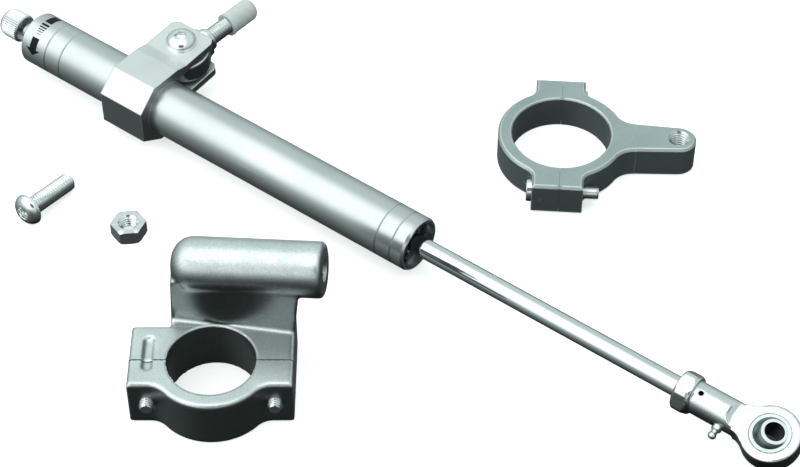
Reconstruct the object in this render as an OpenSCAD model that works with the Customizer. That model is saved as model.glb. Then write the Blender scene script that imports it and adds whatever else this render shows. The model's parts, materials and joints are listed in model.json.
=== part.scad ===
// Adjustable steering damper kit: damper, fork clamp, frame clamp, spare screw and nut.
// The damper lies along X with its rod eye at the origin, and +Z is up from the bench.

/* [Outer tube] */
// Length of the outer tube
tube_l = 216.5; // [200:0.5:240]
// Outside diameter of the outer tube
tube_d = 24; // [23.5:0.5:27]
// Wall of the outer tube
tube_wall = 1.5; // [1.2:0.1:1.8]
// Chamfer on both rims of the tube
rim_chamfer = 1.1; // [0.6:0.1:1.1]
// Depth of the turned lines near both rims
line_depth = 0.35; // [0.2:0.05:0.5]
// Width of the turned lines
line_w = 0.8; // [0.5:0.1:1]
// Rear rim to the first turned line
rear_line = 15; // [12:0.1:18]
// Front rim to the first turned line
front_line = 6.6; // [5:0.1:9]
// Spacing of the two rear lines
rear_pitch = 8.7; // [6:0.1:12]
// Spacing of the two front lines
front_pitch = 7.8; // [6:0.1:12]

/* [Rod and piston] */
// Diameter of the piston rod
rod_d = 8.5; // [7:0.5:10]
// Bare rod from the tube rim to the rod end, fully extended
rod_out = 127.2; // [124:0.1:140]
// Travel of the rod
stroke = 120; // [90:1:122]
// Length of the piston
piston_l = 10; // [8:0.5:12]
// Bore of the inner cylinder
cylinder_bore = 15; // [14:0.1:15.4]
// Wall of the inner cylinder
cylinder_wall = 1.2; // [1:0.1:1.4]
// Length of the rod guide inside the tube
guide_l = 24; // [22:0.5:26]
// Front rim to the outer face of the rod guide
guide_recess = 5.5; // [4.5:0.1:7]

/* [Adjuster] */
// Diameter of the fluted knob
knob_d = 13.3; // [12:0.1:16]
// Length of the knob
knob_l = 11.5; // [10:0.5:14]
// Gap from the tube rim to the knob
knob_gap = 8.4; // [6:0.1:10]
// Number of flutes on the knob
knob_flutes = 40; // [24:1:48]
// Depth of the flutes
flute_depth = 0.35; // [0.2:0.05:0.5]
// Diameter of the neck under the knob
neck_d = 7.6; // [7:0.1:8.6]
// Diameter of the adjuster spindle
spindle_d = 4; // [3.5:0.1:4.4]
// Travel of the metering needle
needle_travel = 1; // [0.5:0.1:1.4]

/* [Spherical eyes] */
// Bore of both balls
ball_bore = 8; // [7:0.1:8.4]
// Width of both balls
ball_w = 12; // [11:0.1:13]
// Diameter of both balls
ball_d = 15.9; // [15.5:0.1:16.4]
// Outside diameter of both eyes
eye_d = 24.2; // [23:0.1:25]
// Width of both eyes
eye_w = 9; // [8.6:0.1:9.6]
// Wall of the race between the ball and the eye
race_wall = 1.1; // [0.8:0.1:1.2]

/* [Rod eye] */
// Collar face to the eye centre
eye_reach = 40.8; // [38:0.1:48]
// Diameter of the shank
shank_d = 13.5; // [12.8:0.1:14]
// Width of the hexagon on the collar, across its flats
collar_af = 15.8; // [15.2:0.1:17]
// Length of the collar
collar_l = 7; // [6:0.1:9]
// Turn of the eye about the rod from lying flat
eye_roll = 18; // [-30:1:30]
// Lean of the ball's axis from the eye's axis
ball_lean = 17; // [0:1:18]
// Direction of that lean from the rod axis
ball_heading = 32; // [0:1:359]
// Collar face to the sight hole
sight_at = 10.2; // [9:0.1:12]
// Diameter of the sight hole
sight_d = 2; // [1.5:0.1:2.4]

/* [Frame side rod end] */
// Eye centre to the end of the stud
stud_reach = 41; // [38:0.5:48]
// Diameter of the stud
stud_d = 8; // [7.8:0.1:8.4]
// Sideways swing of the stud at rest
stud_swing = 5; // [-20:1:20]
// Length of the protective cap
cap_l = 16.2; // [12:0.1:18]
// Wall of the protective cap
cap_wall = 1.2; // [0.8:0.1:1.5]

/* [Tube clamp] */
// Rear rim to the middle of the clamp
clamp_x = 66.1; // [55:0.1:90]
// Width of the clamp along the tube
clamp_w = 23.6; // [20:0.1:28]
// Metal in front of the tube
clamp_front_wall = 4.5; // [3:0.05:6]
// Metal above the tube
clamp_top_wall = 3.75; // [3:0.05:5]
// Metal below the tube
clamp_base_wall = 3; // [2.5:0.05:4]
// Thickness of the two ears
ear_t = 3.5; // [3:0.1:4.5]
// Screw axis to the end of the ears
ear_end = 9.6; // [8:0.1:12]
// Radius of the ear corners
ear_corner = 4; // [2:0.1:5]
// Height of the ball above the tube axis
pivot_lift = 5.45; // [5:0.05:6]
// Rise of the ears toward their ends
ear_rise = 3; // [0:0.5:4]

/* [Fork clamp] */
// Bore for the fork tube
fork_bore = 43; // [41:0.5:45]
// Wall of the fork clamp ring
fork_wall = 6; // [5:0.1:7]
// Height of the fork clamp
fork_h = 15.5; // [13:0.5:18]
// Ring centre to the outer end of the screw lugs
fork_lug_end = 34.2; // [33.5:0.1:37]
// Width of the cap half's lug
fork_cap_lug = 11.7; // [10:0.1:13]
// Width of the arm half's lug
fork_arm_lug = 10.2; // [8:0.1:12]
// Ring centre to the threaded hole in the arm
arm_reach = 51; // [46:0.1:58]
// Radius of the arm's end
arm_end_r = 7.5; // [6.5:0.1:8.5]
// Half width of the arm at the ring
arm_root_r = 8.9; // [8.6:0.1:10]

/* [Frame clamp] */
// Bore for the frame tube
frame_bore = 35; // [32:0.5:38]
// Wall of the front half's ring
frame_wall = 6.5; // [5.5:0.1:8]
// Height of the frame clamp block
frame_h = 22.5; // [20:0.5:26]
// Half width of the frame clamp block
frame_half_w = 32.3; // [31.5:0.1:36]
// Depth of the front half at its lugs
frame_cap_lug = 13; // [11:0.1:15]
// Depth of the rear half behind the split
frame_rear = 17.9; // [16.5:0.1:20]
// Diameter of the threaded boss
boss_d = 22.5; // [20:0.5:24]
// Length of the threaded boss
boss_l = 60.8; // [54:0.1:68]
// Height of the boss axis above the bench
boss_z = 45.2; // [42:0.1:52]
// Bore centre to the boss axis, square to the split
boss_back = 28.7; // [28.5:0.1:32]
// Thickness of the web that carries the boss
web_t = 13; // [10:0.5:16]

/* [Fasteners] */
// Thread of the large screws, nuts and tapped holes
m_large = 8; // [7.6:0.1:8.2]
// Thread of the clamp screws
m_small = 6; // [5:0.1:6.2]
// Head of the large button head screws
button_d = 14; // [13:0.1:15]
// Nut width across its flats
nut_af = 13.4; // [13:0.1:14.5]
// Height of the loose nut
nut_h = 6.5; // [5.5:0.1:7.5]
// Length of the loose screw under its head
loose_l = 25; // [16:1:30]
// Length of the near fork clamp screw under its head
fork_screw_l = 25; // [22:1:28]
// Length of the far fork clamp screw under its head
fork_far_screw_l = 16; // [13:1:18]
// Length of the frame clamp screws under their heads
frame_screw_l = 30; // [28:1:34]

/* [Where the kit lies] */
// Fork clamp centre from the rear rim, along the damper
fork_at_x = 225.2; // [220:0.1:240]
// Fork clamp centre beside the damper
fork_at_y = 91.3; // [88:0.1:110]
// Turn of the fork clamp's arm from the damper axis
fork_turn = 33; // [28:1:38]
// Frame clamp centre from the rear rim, along the damper
frame_at_x = 193.4; // [180:0.1:210]
// Frame clamp centre beside the damper
frame_at_y = -104.2; // [-125:0.1:-102]
// Turn of the frame clamp's split from the damper axis
frame_turn = 37.3; // [32:0.1:42]
// Loose screw head from the rear rim, along the damper
loose_at_x = 67.2; // [55:0.1:80]
// Loose screw head beside the damper
loose_at_y = -77.2; // [-90:0.1:-72]
// Turn of the loose screw from the damper axis
loose_turn = 91; // [80:1:100]
// Loose nut from the rear rim, along the damper
nut_at_x = 105.6; // [95:0.1:120]
// Loose nut beside the damper
nut_at_y = -57.3; // [-70:0.1:-50]
// Turn of the loose nut
nut_turn = 14; // [0:1:59]

/* [Hidden] */

fine = 96;              // facets of visible turned faces
plain = 48;             // facets of small and hidden turned faces
fit = 0.05;             // radial clearance of sliding fits
close_fit = 0.02;       // radial clearance of seated pieces
over = 1;               // how far a cutter runs past a face
blend = 0.02;           // how far a fillet's cutter bites into the faces it joins

tube_r = tube_d / 2;
tube_ri = tube_r - tube_wall;
rod_r = rod_d / 2;
eye_r = eye_d / 2;
ball_r = ball_d / 2;
eye_x = tube_l + rod_out + eye_reach;          // rear rim to the rod eye
floor_z = -(tube_r + clamp_base_wall);         // bench level below the damper axis
collar_x = tube_l + rod_out;

// Inside of the damper, all measured from the rear rim
clip_t = 1;
clip_depth = 0.7;
front_lug_turn = 152;
clip_x = rim_chamfer + 0.4;
head_x = clip_x + clip_t;
head_seal_x = 22;
head_end = 28.6;
spigot_l = 5;
head_r = tube_ri - close_fit;
head_step_r = tube_ri - 1.8;
head_grooves = [10, 18];
guide_end = tube_l - guide_recess;
guide_x = guide_end - guide_l;
bush_wall = 1;
bush_l = 9;
bush_x = guide_x + 2;
seal_x = guide_end - 10;
seal_l = 4;
seal_ro = rod_r + 3;
wiper_l = 3;
guide_seal_x = guide_end - 5;
cyl_ri = cylinder_bore / 2;
cyl_ro = cyl_ri + cylinder_wall;
piston_gap = 1;
piston_end = guide_x - spigot_l - piston_gap;
piston_x = piston_end - piston_l;
piston_r = cyl_ri - 0.15;
ring_w = 3;
ring_t = 1;
spigot_r = rod_r - 1.25;
washer_t = 1.2;
piston_nut_h = 5;
rod_thread_l = 15;
rod_sink = 0.6;                                // full rod diameter inside the collar
cord_r = 0.9;                                  // cord radius of the O-rings
seal_squeeze = 0.05;                           // what the tube takes off that radius
seal_gap = 0.05;                               // groove floor to the relaxed cord
groove_play = 0.4;

// Adjuster
neck_r = neck_d / 2;
spindle_r = spindle_d / 2;
neck_out = knob_gap - 1.6;
knob_inner = -knob_gap;
knob_outer = knob_inner - knob_l;
knob_hollow = 2.2;
knob_r = knob_d / 2;
knob_screw_r = 1.5;
knob_screw_turn = -144;                        // from straight up, away from the +Y side
spindle_end = 12;
needle_stem_r = spindle_r / 2;
needle_hex_r = 3;
needle_hex_x = 14;
needle_hex_l = 3;
needle_shaft_r = 1.6;
needle_shaft_end = 22;
needle_tip_x = 26;
needle_tip_r = 0.5;
orifice_r = 1;
detent_x = 5.8;
detent_r = 1.2;

// Rod eye
shank_relief = 5.8;                            // how far the flat faces run past the eye
nipple_x = -19.6;
nipple_r = 1.5;
nipple_flange_r = 2.1;
nipple_sink = 0.4;                             // depth of the spot face under its flange
nipple_stem = 2.5;                             // shank axis to the inner end of its stem

// Clevis and frame side rod end
ear_gap = ball_w + 2 * fit;
pivot_clear = 0.75;
pivot_y = tube_r + eye_r + pivot_clear;
ear_under = pivot_lift + ear_gap / 2;
ear_top = ear_under + ear_t;
ear_root = tube_r + 3.5;                       // the block's slope ends on the upper ear here
ear_dip = 0.8;                                 // and this far below the ear's height at the screw
slope_top = tube_r - 2.6;
race_r = ball_r + race_wall;
race_w = eye_w - 1.4;
race_lip_r = ball_r + 0.15;                    // outer radius of the race where it shows
race_sink = 0.15;                              // the race lies this far below the eye's faces
race_play = 0.04;                              // radial play of the ball in its race
neck_half = eye_w / 2 + 0.9;
stud_neck_x = eye_r + 4.5;
neck_relief = 2.6;                             // how far the flat faces run past the eye
cap_cover = cap_l - 2.4;

// Screws and nuts
large_r = m_large / 2;
small_r = m_small / 2;
large_tap_r = large_r * 0.85;                  // minor radius of a tapped hole
small_tap_r = small_r + close_fit;
small_clear = 0.3;                             // clearance of the clamp screws' shanks
head_clear = 0.4;                              // clearance of their heads
button_r = button_d / 2;
button_h = m_large * 0.55;
socket_af = m_large * 0.63;
cap_head_r = m_small * 0.83;
cap_head_h = m_small;
lock_nut_h = 5;                                // thin lock nut under the clevis
clevis_l = ear_gap + 2 * ear_t + lock_nut_h + 1.5;
to_corner = 1 / cos(30);                       // hexagon flat radius to corner radius

// Fork clamp
fork_ri = fork_bore / 2;
fork_ro = fork_ri + fork_wall;
fork_edge = 1;
fork_split = 0.1;
fork_lug_fillet = 5.5;
arm_fillet = 10;
fork_screw_y = fork_ri + small_r + 4;
fork_seat = -8;
fork_far_seat = 5.4;

// Frame clamp
frame_ri = frame_bore / 2;
frame_ro = frame_ri + frame_wall;
frame_edge = 0.9;
frame_split = 0.2;
frame_fillet = 8;
frame_screw_x = frame_ri + small_r + 4.5;
frame_seat = frame_rear - 3.9;
web_left = -17.3;                              // outer face of the web at the block
web_slope = -9.2;                              // turn of the web in plan
web_front = 18.1;                              // bore centre to the web, at web_mid_x
web_mid_x = 8;
web_lean = 3;                                  // draft of the web's left edge
web_flare = 5.5;                               // flare of the web's right edge
boss_slope = -7.5;                             // turn of the boss in plan
boss_rise = 4.3;                               // rise of the boss toward its open end
boss_corner = 8.5;                             // rounding of the boss's closed end
boss_inset = 1.2;                              // closed end of the boss inside the web's edge
boss_open = boss_l + boss_inset + web_left - web_mid_x;    // open end in the boss's own frame
boss_bore_l = 24;
web_top = boss_z - 2;
web_top_left = web_left + tan(web_lean) * (web_top - frame_h);
web_top_right = frame_half_w + tan(web_flare) * (web_top - frame_h);
mark_w = 4;
mark_depth = 1.2;
mark_x = -frame_ri - 7.4;

// The loose screw rests on its head's rim and its tip
loose_lean = asin((button_r - large_r) / sqrt(loose_l * loose_l + pow(button_r - large_r, 2)));

// An arc of points, from angle a0 to a1
function arc(cx, cy, r, a0, a1, n) =
    [for (i = [0:n]) let(a = a0 + (a1 - a0) * i / n) [cx + r * cos(a), cy + r * sin(a)]];

// A ring outline whose tips lie on two radii in turn, for flutes
function fluted(n, r_out, r_in) =
    [for (i = [0:2 * n - 1]) let(a = 180 * i / n, r = i % 2 == 0 ? r_out : r_in)
        [r * cos(a), r * sin(a)]];

// One ring of a coil of round wire, around Z
function wire_ring(a, r, wire, pitch, sides) =
    [for (j = [0:sides - 1]) let(b = 360 * j / sides, rr = r + wire * cos(b))
        [rr * cos(a), rr * sin(a), pitch * a / 360 + wire * sin(b)]];

// The damper's own coordinates start at the rear rim
module from_rim() {
    translate([-eye_x, 0, 0]) children();
}

// A turned piece along X, from points of radius and place
module turned(points, facets = fine) {
    rotate([0, 90, 0]) rotate_extrude($fn = facets) polygon(points);
}

// A round bar or drill along X
module bar(x0, x1, r, facets = plain) {
    translate([x0, 0, 0]) rotate([0, 90, 0]) cylinder(r = r, h = x1 - x0, $fn = facets);
}

// A hexagonal bar along X, from its radius at the flats
module hex_bar(x0, x1, flat_r, turn = 0) {
    translate([x0, 0, 0]) rotate([turn, 0, 0]) rotate([0, 90, 0])
        cylinder(r = flat_r * to_corner, h = x1 - x0, $fn = 6);
}

// A shallow V line turned into the tube
module turned_line(x) {
    flare = line_w / 2 * (1 + over / line_depth);
    turned([[tube_r + over, x - flare], [tube_r - line_depth, x], [tube_r + over, x + flare]]);
}

module outer_tube() {
    color("gainsboro") from_rim() difference() {
        turned([[tube_ri, 0], [tube_r - rim_chamfer, 0], [tube_r, rim_chamfer],
            [tube_r, tube_l - rim_chamfer], [tube_r - rim_chamfer / 2, tube_l],
            [tube_ri, tube_l]]);
        for (i = [0, 1]) {
            turned_line(rear_line + i * rear_pitch);
            turned_line(tube_l - front_line - i * front_pitch);
        }
        bar(clip_x, clip_x + clip_t, tube_ri + clip_depth, fine);
        bar(guide_end, guide_end + clip_t, tube_ri + clip_depth, fine);
    }
}

module inner_cylinder() {
    color("silver") from_rim()
        turned([[cyl_ri, head_end], [cyl_ro, head_end], [cyl_ro, guide_x], [cyl_ri, guide_x]]);
}

// An O-ring about the damper axis
module o_ring(x, mid_r, cord = cord_r) {
    translate([x, 0, 0]) rotate([0, 90, 0])
        rotate_extrude($fn = plain) translate([mid_r, 0]) circle(r = cord, $fn = 24);
}

// A square groove for an O-ring, in the outside of a piece of radius r
module seal_groove(x, r, cord = cord_r) {
    w = 2 * cord + groove_play;
    floor_r = r - 2 * cord + seal_gap;
    turned([[floor_r, x - w / 2], [r + over, x - w / 2], [r + over, x + w / 2],
        [floor_r, x + w / 2]], plain);
}

module valve_head() {
    color("lightgray") from_rim() difference() {
        turned([[0, -neck_out], [neck_r - 0.5, -neck_out], [neck_r, -neck_out + 0.5],
            [neck_r, head_x], [head_r, head_x], [head_r, head_seal_x],
            [head_step_r, head_seal_x + 1.5], [head_step_r, head_end],
            [cyl_ri - close_fit, head_end], [cyl_ri - close_fit, head_end + spigot_l],
            [0, head_end + spigot_l]]);
        for (x = head_grooves) seal_groove(x, head_r);
        bar(-neck_out - over, spindle_end + 0.2, spindle_r + fit);
        hex_bar(spindle_end, needle_hex_x + needle_hex_l + needle_travel + 0.4,
            needle_hex_r + fit);
        bar(spindle_end, needle_tip_x + 0.5, needle_shaft_r + fit);
        bar(needle_tip_x, head_end + spigot_l + over, orifice_r);
        turned([[0, -1.4], [spindle_r + 1.15, -1.4], [spindle_r + 1.15, 0.4], [0, 0.4]], plain);
        for (a = [0:90:270]) rotate([a, 0, 0]) translate([needle_tip_x - 1, 0, 0])
            cylinder(r = 1, h = tube_r, $fn = 24);
        translate([detent_x, 0, 0]) rotate([-90, 0, 0])
            cylinder(r = detent_r + fit, h = tube_r, $fn = 32);
    }
}

module valve_head_seals() {
    color("dimgray") from_rim()
        for (x = head_grooves) o_ring(x, head_r - cord_r + close_fit, cord_r - seal_squeeze);
}

// An internal circlip seated in its groove, with its two lugs turned up or down
module circlip(x, lug_turn) {
    reach = tube_ri + clip_depth - close_fit;
    lug_r = 1.5;
    lug_at = tube_ri - 1.2;
    translate([x, 0, 0]) rotate([lug_turn, 0, 0]) difference() {
        union() {
            difference() {
                bar(close_fit, clip_t - close_fit, reach, fine);
                bar(-over, clip_t + over, tube_ri - 1, fine);
                translate([clip_t / 2, 0, reach]) cube([4, 5.4, 9], center = true);
            }
            for (s = [-1, 1]) rotate([s * 17, 0, 0]) translate([0, 0, lug_at - 0.9])
                bar(close_fit, clip_t - close_fit, lug_r);
        }
        for (s = [-1, 1]) rotate([s * 17, 0, 0]) translate([0, 0, lug_at - 0.9])
            bar(-over, clip_t + over, 0.65);
    }
}

module rear_circlip() {
    color("dimgray") from_rim() circlip(clip_x, 0);
}

module front_circlip() {
    color("dimgray") from_rim() circlip(guide_end, front_lug_turn);
}

module detent_ball() {
    color("silver") from_rim()
        translate([detent_x, spindle_r + detent_r + fit, 0]) sphere(r = detent_r, $fn = 32);
}

// The detent spring is one unbroken coil that presses the ball onto the spindle
module detent_spring() {
    sides = 6;
    steps = 12;
    turns = 5;
    wire = 0.2;
    start = spindle_r + 2 * detent_r + fit + wire;
    pitch = (head_r - wire - start - 0.1) / turns;
    rings = turns * steps;
    coil_r = detent_r - wire - 0.1;
    points = [for (i = [0:rings]) each wire_ring(360 * i / steps, coil_r, wire, pitch, sides)];
    walls = [for (i = [0:rings - 1], j = [0:sides - 1]) let(k = (j + 1) % sides)
        each [[i * sides + j, (i + 1) * sides + j, (i + 1) * sides + k],
            [i * sides + j, (i + 1) * sides + k, i * sides + k]]];
    ends = concat([[for (j = [0:sides - 1]) j]],
        [[for (j = [sides - 1:-1:0]) rings * sides + j]]);
    color("gray") from_rim() translate([detent_x, start, 0]) rotate([-90, 0, 0])
        polyhedron(points = points, faces = concat(walls, ends));
}

module adjuster_spindle() {
    stem_bore = needle_stem_r + fit;
    color("silver") from_rim() difference() {
        bar(knob_outer + 3, spindle_end, spindle_r);
        bar(spindle_end - 8, spindle_end + over, stem_bore);
        turned([[spindle_r - 0.5, -1.2], [spindle_r + over, -1.2],
            [spindle_r + over, 0.2], [spindle_r - 0.5, 0.2]], plain);
    }
}

module adjuster_knob() {
    crown = knob_r * 0.62;
    edge = knob_outer + crown;
    outline = concat([[0, knob_inner], [knob_r - 0.8, knob_inner], [knob_r, knob_inner - 0.8]],
        [[knob_r, edge]], arc(knob_r - crown, edge, crown, 0, -80, 8), [[0, knob_outer - 0.2]]);
    color("gainsboro") from_rim() difference() {
        intersection() {
            turned(outline);
            translate([knob_outer - over, 0, 0]) rotate([0, 90, 0])
                linear_extrude(knob_l + 2 * over)
                    polygon(fluted(knob_flutes, knob_r + 0.02, knob_r - flute_depth));
        }
        bar(knob_inner - knob_hollow, knob_inner + over, knob_r - 1.6);
        bar(knob_outer + 3 - fit, knob_inner + over, spindle_r + close_fit);
        knob_screw_frame() cylinder(r = knob_screw_r, h = knob_d, $fn = 24);
    }
}

// The knob's set screw points away from the bench side view, at the back of the knob
module knob_screw_frame() {
    translate([knob_outer + 5.4, 0, 0]) rotate([knob_screw_turn, 0, 0]) children();
}

module knob_set_screw() {
    hex_r = 0.75;
    color("dimgray") from_rim() knob_screw_frame() difference() {
        translate([0, 0, spindle_r + close_fit])
            cylinder(r = knob_screw_r - close_fit, h = knob_r - spindle_r - 1, $fn = 24);
        translate([0, 0, knob_r - 2.6]) cylinder(r = hex_r * to_corner, h = 4, $fn = 6);
    }
}

module spindle_seal() {
    color("dimgray") from_rim() o_ring(-0.5, spindle_r + 0.62, 0.5);
}

module metering_needle() {
    color("goldenrod") from_rim() {
        bar(spindle_end - 8 + needle_travel, needle_hex_x, needle_stem_r);
        hex_bar(needle_hex_x, needle_hex_x + needle_hex_l, needle_hex_r);
        turned([[0, needle_hex_x + needle_hex_l - 0.5],
            [needle_shaft_r, needle_hex_x + needle_hex_l - 0.5],
            [needle_shaft_r, needle_shaft_end], [needle_tip_r, needle_tip_x],
            [0, needle_tip_x]], plain);
    }
}

module reservoir_foam() {
    foam_l = 80;
    x0 = head_end + 30;
    color("slategray") from_rim()
        turned([[cyl_ro + fit, x0], [tube_ri - fit, x0], [tube_ri - fit, x0 + foam_l],
            [cyl_ro + fit, x0 + foam_l]], plain);
}

module rod_guide() {
    pocket_r = tube_ri - 3;
    color("darkgray") from_rim() difference() {
        turned([[rod_r + 0.4, guide_x - spigot_l], [cyl_ri - close_fit, guide_x - spigot_l],
            [cyl_ri - close_fit, guide_x], [head_step_r, guide_x], [head_step_r, guide_x + 3],
            [tube_ri - close_fit, guide_x + 5], [tube_ri - close_fit, guide_end],
            [pocket_r, guide_end], [pocket_r - 1, guide_end - 1], [rod_r + 0.4, guide_end - 1]]);
        bar(bush_x, bush_x + bush_l, rod_r + fit + bush_wall + close_fit);
        bar(seal_x, seal_x + seal_l, seal_ro + close_fit);
        bar(guide_end - wiper_l, guide_end + over, seal_ro + close_fit);
        seal_groove(guide_seal_x, tube_ri - close_fit);
    }
}

module guide_bushing() {
    ri = rod_r + fit;
    ro = ri + bush_wall;
    color("peru") from_rim()
        turned([[ri, bush_x], [ro, bush_x], [ro, bush_x + bush_l], [ri, bush_x + bush_l]], plain);
}

module rod_seal() {
    ri = rod_r + fit;
    color("darkslategray") from_rim()
        turned([[ri + 0.6, seal_x], [ri + 1.4, seal_x + 1.4], [seal_ro - 0.8, seal_x],
            [seal_ro, seal_x + 0.2], [seal_ro, seal_x + seal_l], [ri, seal_x + seal_l],
            [ri, seal_x + 0.6]], plain);
}

module wiper_seal() {
    ri = rod_r + fit;
    x = guide_end - wiper_l;
    color("black") from_rim()
        turned([[ri + 0.4, x], [seal_ro, x], [seal_ro, x + wiper_l - 0.6], [ri + 1.3, x + wiper_l],
            [ri, x + wiper_l + 0.5], [ri, x + wiper_l - 0.6]], plain);
}

module guide_seal() {
    color("dimgray") from_rim()
        o_ring(guide_seal_x, tube_ri - cord_r, cord_r - seal_squeeze);
}

module piston_rod() {
    color("whitesmoke") from_rim()
        turned([[0, piston_x - washer_t - piston_nut_h - 0.8],
            [spigot_r - 0.5, piston_x - washer_t - piston_nut_h - 0.8],
            [spigot_r, piston_x - washer_t - piston_nut_h - 0.3],
            [spigot_r, piston_end], [rod_r, piston_end], [rod_r, collar_x + rod_sink],
            [large_r - 0.05, collar_x + rod_sink], [large_r - 0.05, collar_x + rod_thread_l],
            [0, collar_x + rod_thread_l]]);
}

module piston() {
    mid = (piston_x + piston_end) / 2;
    color("lightgray") from_rim() difference() {
        turned([[spigot_r + fit, piston_x], [piston_r - 0.4, piston_x], [piston_r, piston_x + 0.4],
            [piston_r, mid - ring_w / 2], [piston_r - ring_t, mid - ring_w / 2],
            [piston_r - ring_t, mid + ring_w / 2], [piston_r, mid + ring_w / 2],
            [piston_r, piston_end - 0.4], [piston_r - 0.4, piston_end],
            [spigot_r + fit, piston_end]]);
        for (a = [0:60:300]) rotate([a, 0, 0]) translate([0, 0, (spigot_r + piston_r) / 2 + 0.1])
            bar(piston_x - over, piston_end + over, 0.7, 24);
    }
}

module piston_ring() {
    mid = (piston_x + piston_end) / 2;
    ri = piston_r - ring_t + close_fit;
    ro = cyl_ri - 0.04;
    w = ring_w / 2 - close_fit;
    color("seashell") from_rim() difference() {
        turned([[ri, mid - w], [ro, mid - w], [ro, mid + w], [ri, mid + w]], plain);
        translate([mid, 0, piston_r]) cube([ring_w + over, 0.4, 4], center = true);
    }
}

module piston_washer() {
    color("silver") from_rim()
        turned([[spigot_r + close_fit, piston_x - washer_t], [piston_r - 1.2, piston_x - washer_t],
            [piston_r - 1.2, piston_x], [spigot_r + close_fit, piston_x]], plain);
}

module piston_nut() {
    x = piston_x - washer_t - piston_nut_h;
    color("silver") from_rim() difference() {
        hex_bar(x, x + piston_nut_h, spigot_r * 1.65);
        bar(x - over, x + piston_nut_h + over, spigot_r + close_fit);
    }
}

// The round eye of a rod end, about Z at the origin, with eased edges
module eye_ring() {
    h = eye_w / 2;
    e = 0.9;
    rotate_extrude($fn = fine)
        polygon([[0, -h], [eye_r - e, -h], [eye_r - e / 3, -h + e / 3], [eye_r, -h + e],
            [eye_r, h - e], [eye_r - e / 3, h - e / 3], [eye_r - e, h], [0, h]]);
}

// Rounded web between the eye and a shank of half width w that leaves along +X
module eye_web(w, fillet) {
    cy = w + fillet;
    cx = sqrt(pow(eye_r + fillet, 2) - cy * cy);
    for (s = [0, 1]) mirror([0, s, 0]) difference() {
        translate([0, 0, -eye_w / 2]) linear_extrude(eye_w)
            polygon([[0, 0], [cx, 0], [cx, cy], [cx * eye_r / (eye_r + fillet),
                cy * eye_r / (eye_r + fillet)]]);
        translate([cx, cy, -eye_w]) cylinder(r = fillet + blend, h = 2 * eye_w, $fn = fine);
    }
}

// Cutters that face both sides of an eye and run out in a cone where the shank begins
module spot_faces(r) {
    for (s = [0, 1]) mirror([0, 0, s]) rotate_extrude($fn = fine)
        polygon([[0, eye_w / 2], [r - 2, eye_w / 2], [r, eye_w / 2 + 1.6], [r, eye_w], [0, eye_w]]);
}

// The seat of the race inside an eye: a wide belt between two narrower lips
module race_seat() {
    translate([0, 0, -eye_w]) cylinder(r = race_lip_r + close_fit, h = 2 * eye_w, $fn = fine);
    translate([0, 0, -race_w / 2]) cylinder(r = race_r, h = race_w, $fn = fine);
}

// The race fills its seat from face to face and holds the ball in a round seat
module race_ring() {
    belt = race_w / 2 - close_fit;
    belt_r = race_r - close_fit;
    face = eye_w / 2 - race_sink;
    seat_r = ball_r + race_play;
    a = asin(face / seat_r);
    rotate_extrude($fn = fine)
        polygon(concat(arc(0, 0, seat_r, -a, a, 12), [[race_lip_r, face], [race_lip_r, belt],
            [belt_r, belt], [belt_r, -belt], [race_lip_r, -belt], [race_lip_r, -face]]));
}

// A ball with flat ends and a bore
module eye_ball(bore_r) {
    difference() {
        intersection() {
            sphere(r = ball_r, $fn = fine);
            translate([0, 0, -ball_w / 2]) cylinder(r = ball_d, h = ball_w, $fn = plain);
        }
        translate([0, 0, -ball_w]) cylinder(r = bore_r, h = 2 * ball_w, $fn = fine);
    }
}

// The rod eye's own frame: the eye axis leans back by eye_roll
module rod_eye_frame() {
    rotate([eye_roll, 0, 0]) children();
}

module rod_eye_housing() {
    shank_r = shank_d / 2;
    root = collar_l - eye_reach;
    collar_r = collar_af / 2 * to_corner * 0.95;
    bore_end = -eye_reach + rod_thread_l + 2;
    color("gainsboro") rod_eye_frame() difference() {
        union() {
            eye_ring();
            mirror([1, 0, 0]) eye_web(shank_r - 0.3, 8);
            turned(concat([[0, root - 1], [shank_r + 1.2, root - 1]],
                arc(shank_r + 1.2, root + 1.2, 1.2, -90, -180, 4),
                [[shank_r, -eye_r + 1.5], [0, -eye_r + 1.5]]));
            intersection() {
                turned([[0, -eye_reach], [collar_r - 1, -eye_reach], [collar_r, -eye_reach + 1],
                    [collar_r, root - 1.4], [collar_r - 1.4, root], [0, root]]);
                hex_bar(-eye_reach - over, root + over, collar_af / 2, 30);
            }
        }
        spot_faces(eye_r + shank_relief);
        race_seat();
        bar(-eye_reach - over, bore_end, large_r, fine);
        bar(-eye_reach - over, -eye_reach + rod_sink + close_fit, rod_r + fit, fine);
        translate([-eye_reach + sight_at, 0, 0])
            cylinder(r = sight_d / 2, h = shank_d, $fn = 24);
        translate([nipple_x, 0, 0]) rotate([90, 0, 0]) {
            cylinder(r = nipple_r + close_fit, h = shank_d, $fn = 24);
            translate([0, 0, shank_r - nipple_sink])
                cylinder(r = nipple_flange_r + 0.3, h = shank_d, $fn = 32);
        }
    }
}

module grease_nipple() {
    s = shank_d / 2;
    seat = s - nipple_sink;
    color("silver") rod_eye_frame() translate([nipple_x, 0, 0]) rotate([90, 0, 0])
        rotate_extrude($fn = 32)
            polygon([[0, nipple_stem], [nipple_r, nipple_stem], [nipple_r, seat],
                [nipple_flange_r, seat], [nipple_flange_r, s + 1.3],
                [1.35, s + 1.9], [1.35, s + 2.9], [1.75, s + 3.7], [1.6, s + 4.5], [1, s + 5.2],
                [0, s + 5.3]]);
}

module rod_eye_race() {
    color("darkgray") rod_eye_frame() race_ring();
}

module rod_eye_ball() {
    color("whitesmoke") rod_eye_frame()
        rotate(ball_heading) rotate([0, ball_lean, 0]) eye_ball(ball_bore / 2);
}

// The pivot's own frame: ear plane flat, ball at the origin, still facing away from the tube
module pivot_frame() {
    from_rim() translate([clamp_x, pivot_y, pivot_lift]) rotate([ear_rise, 0, 0]) children();
}

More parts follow.
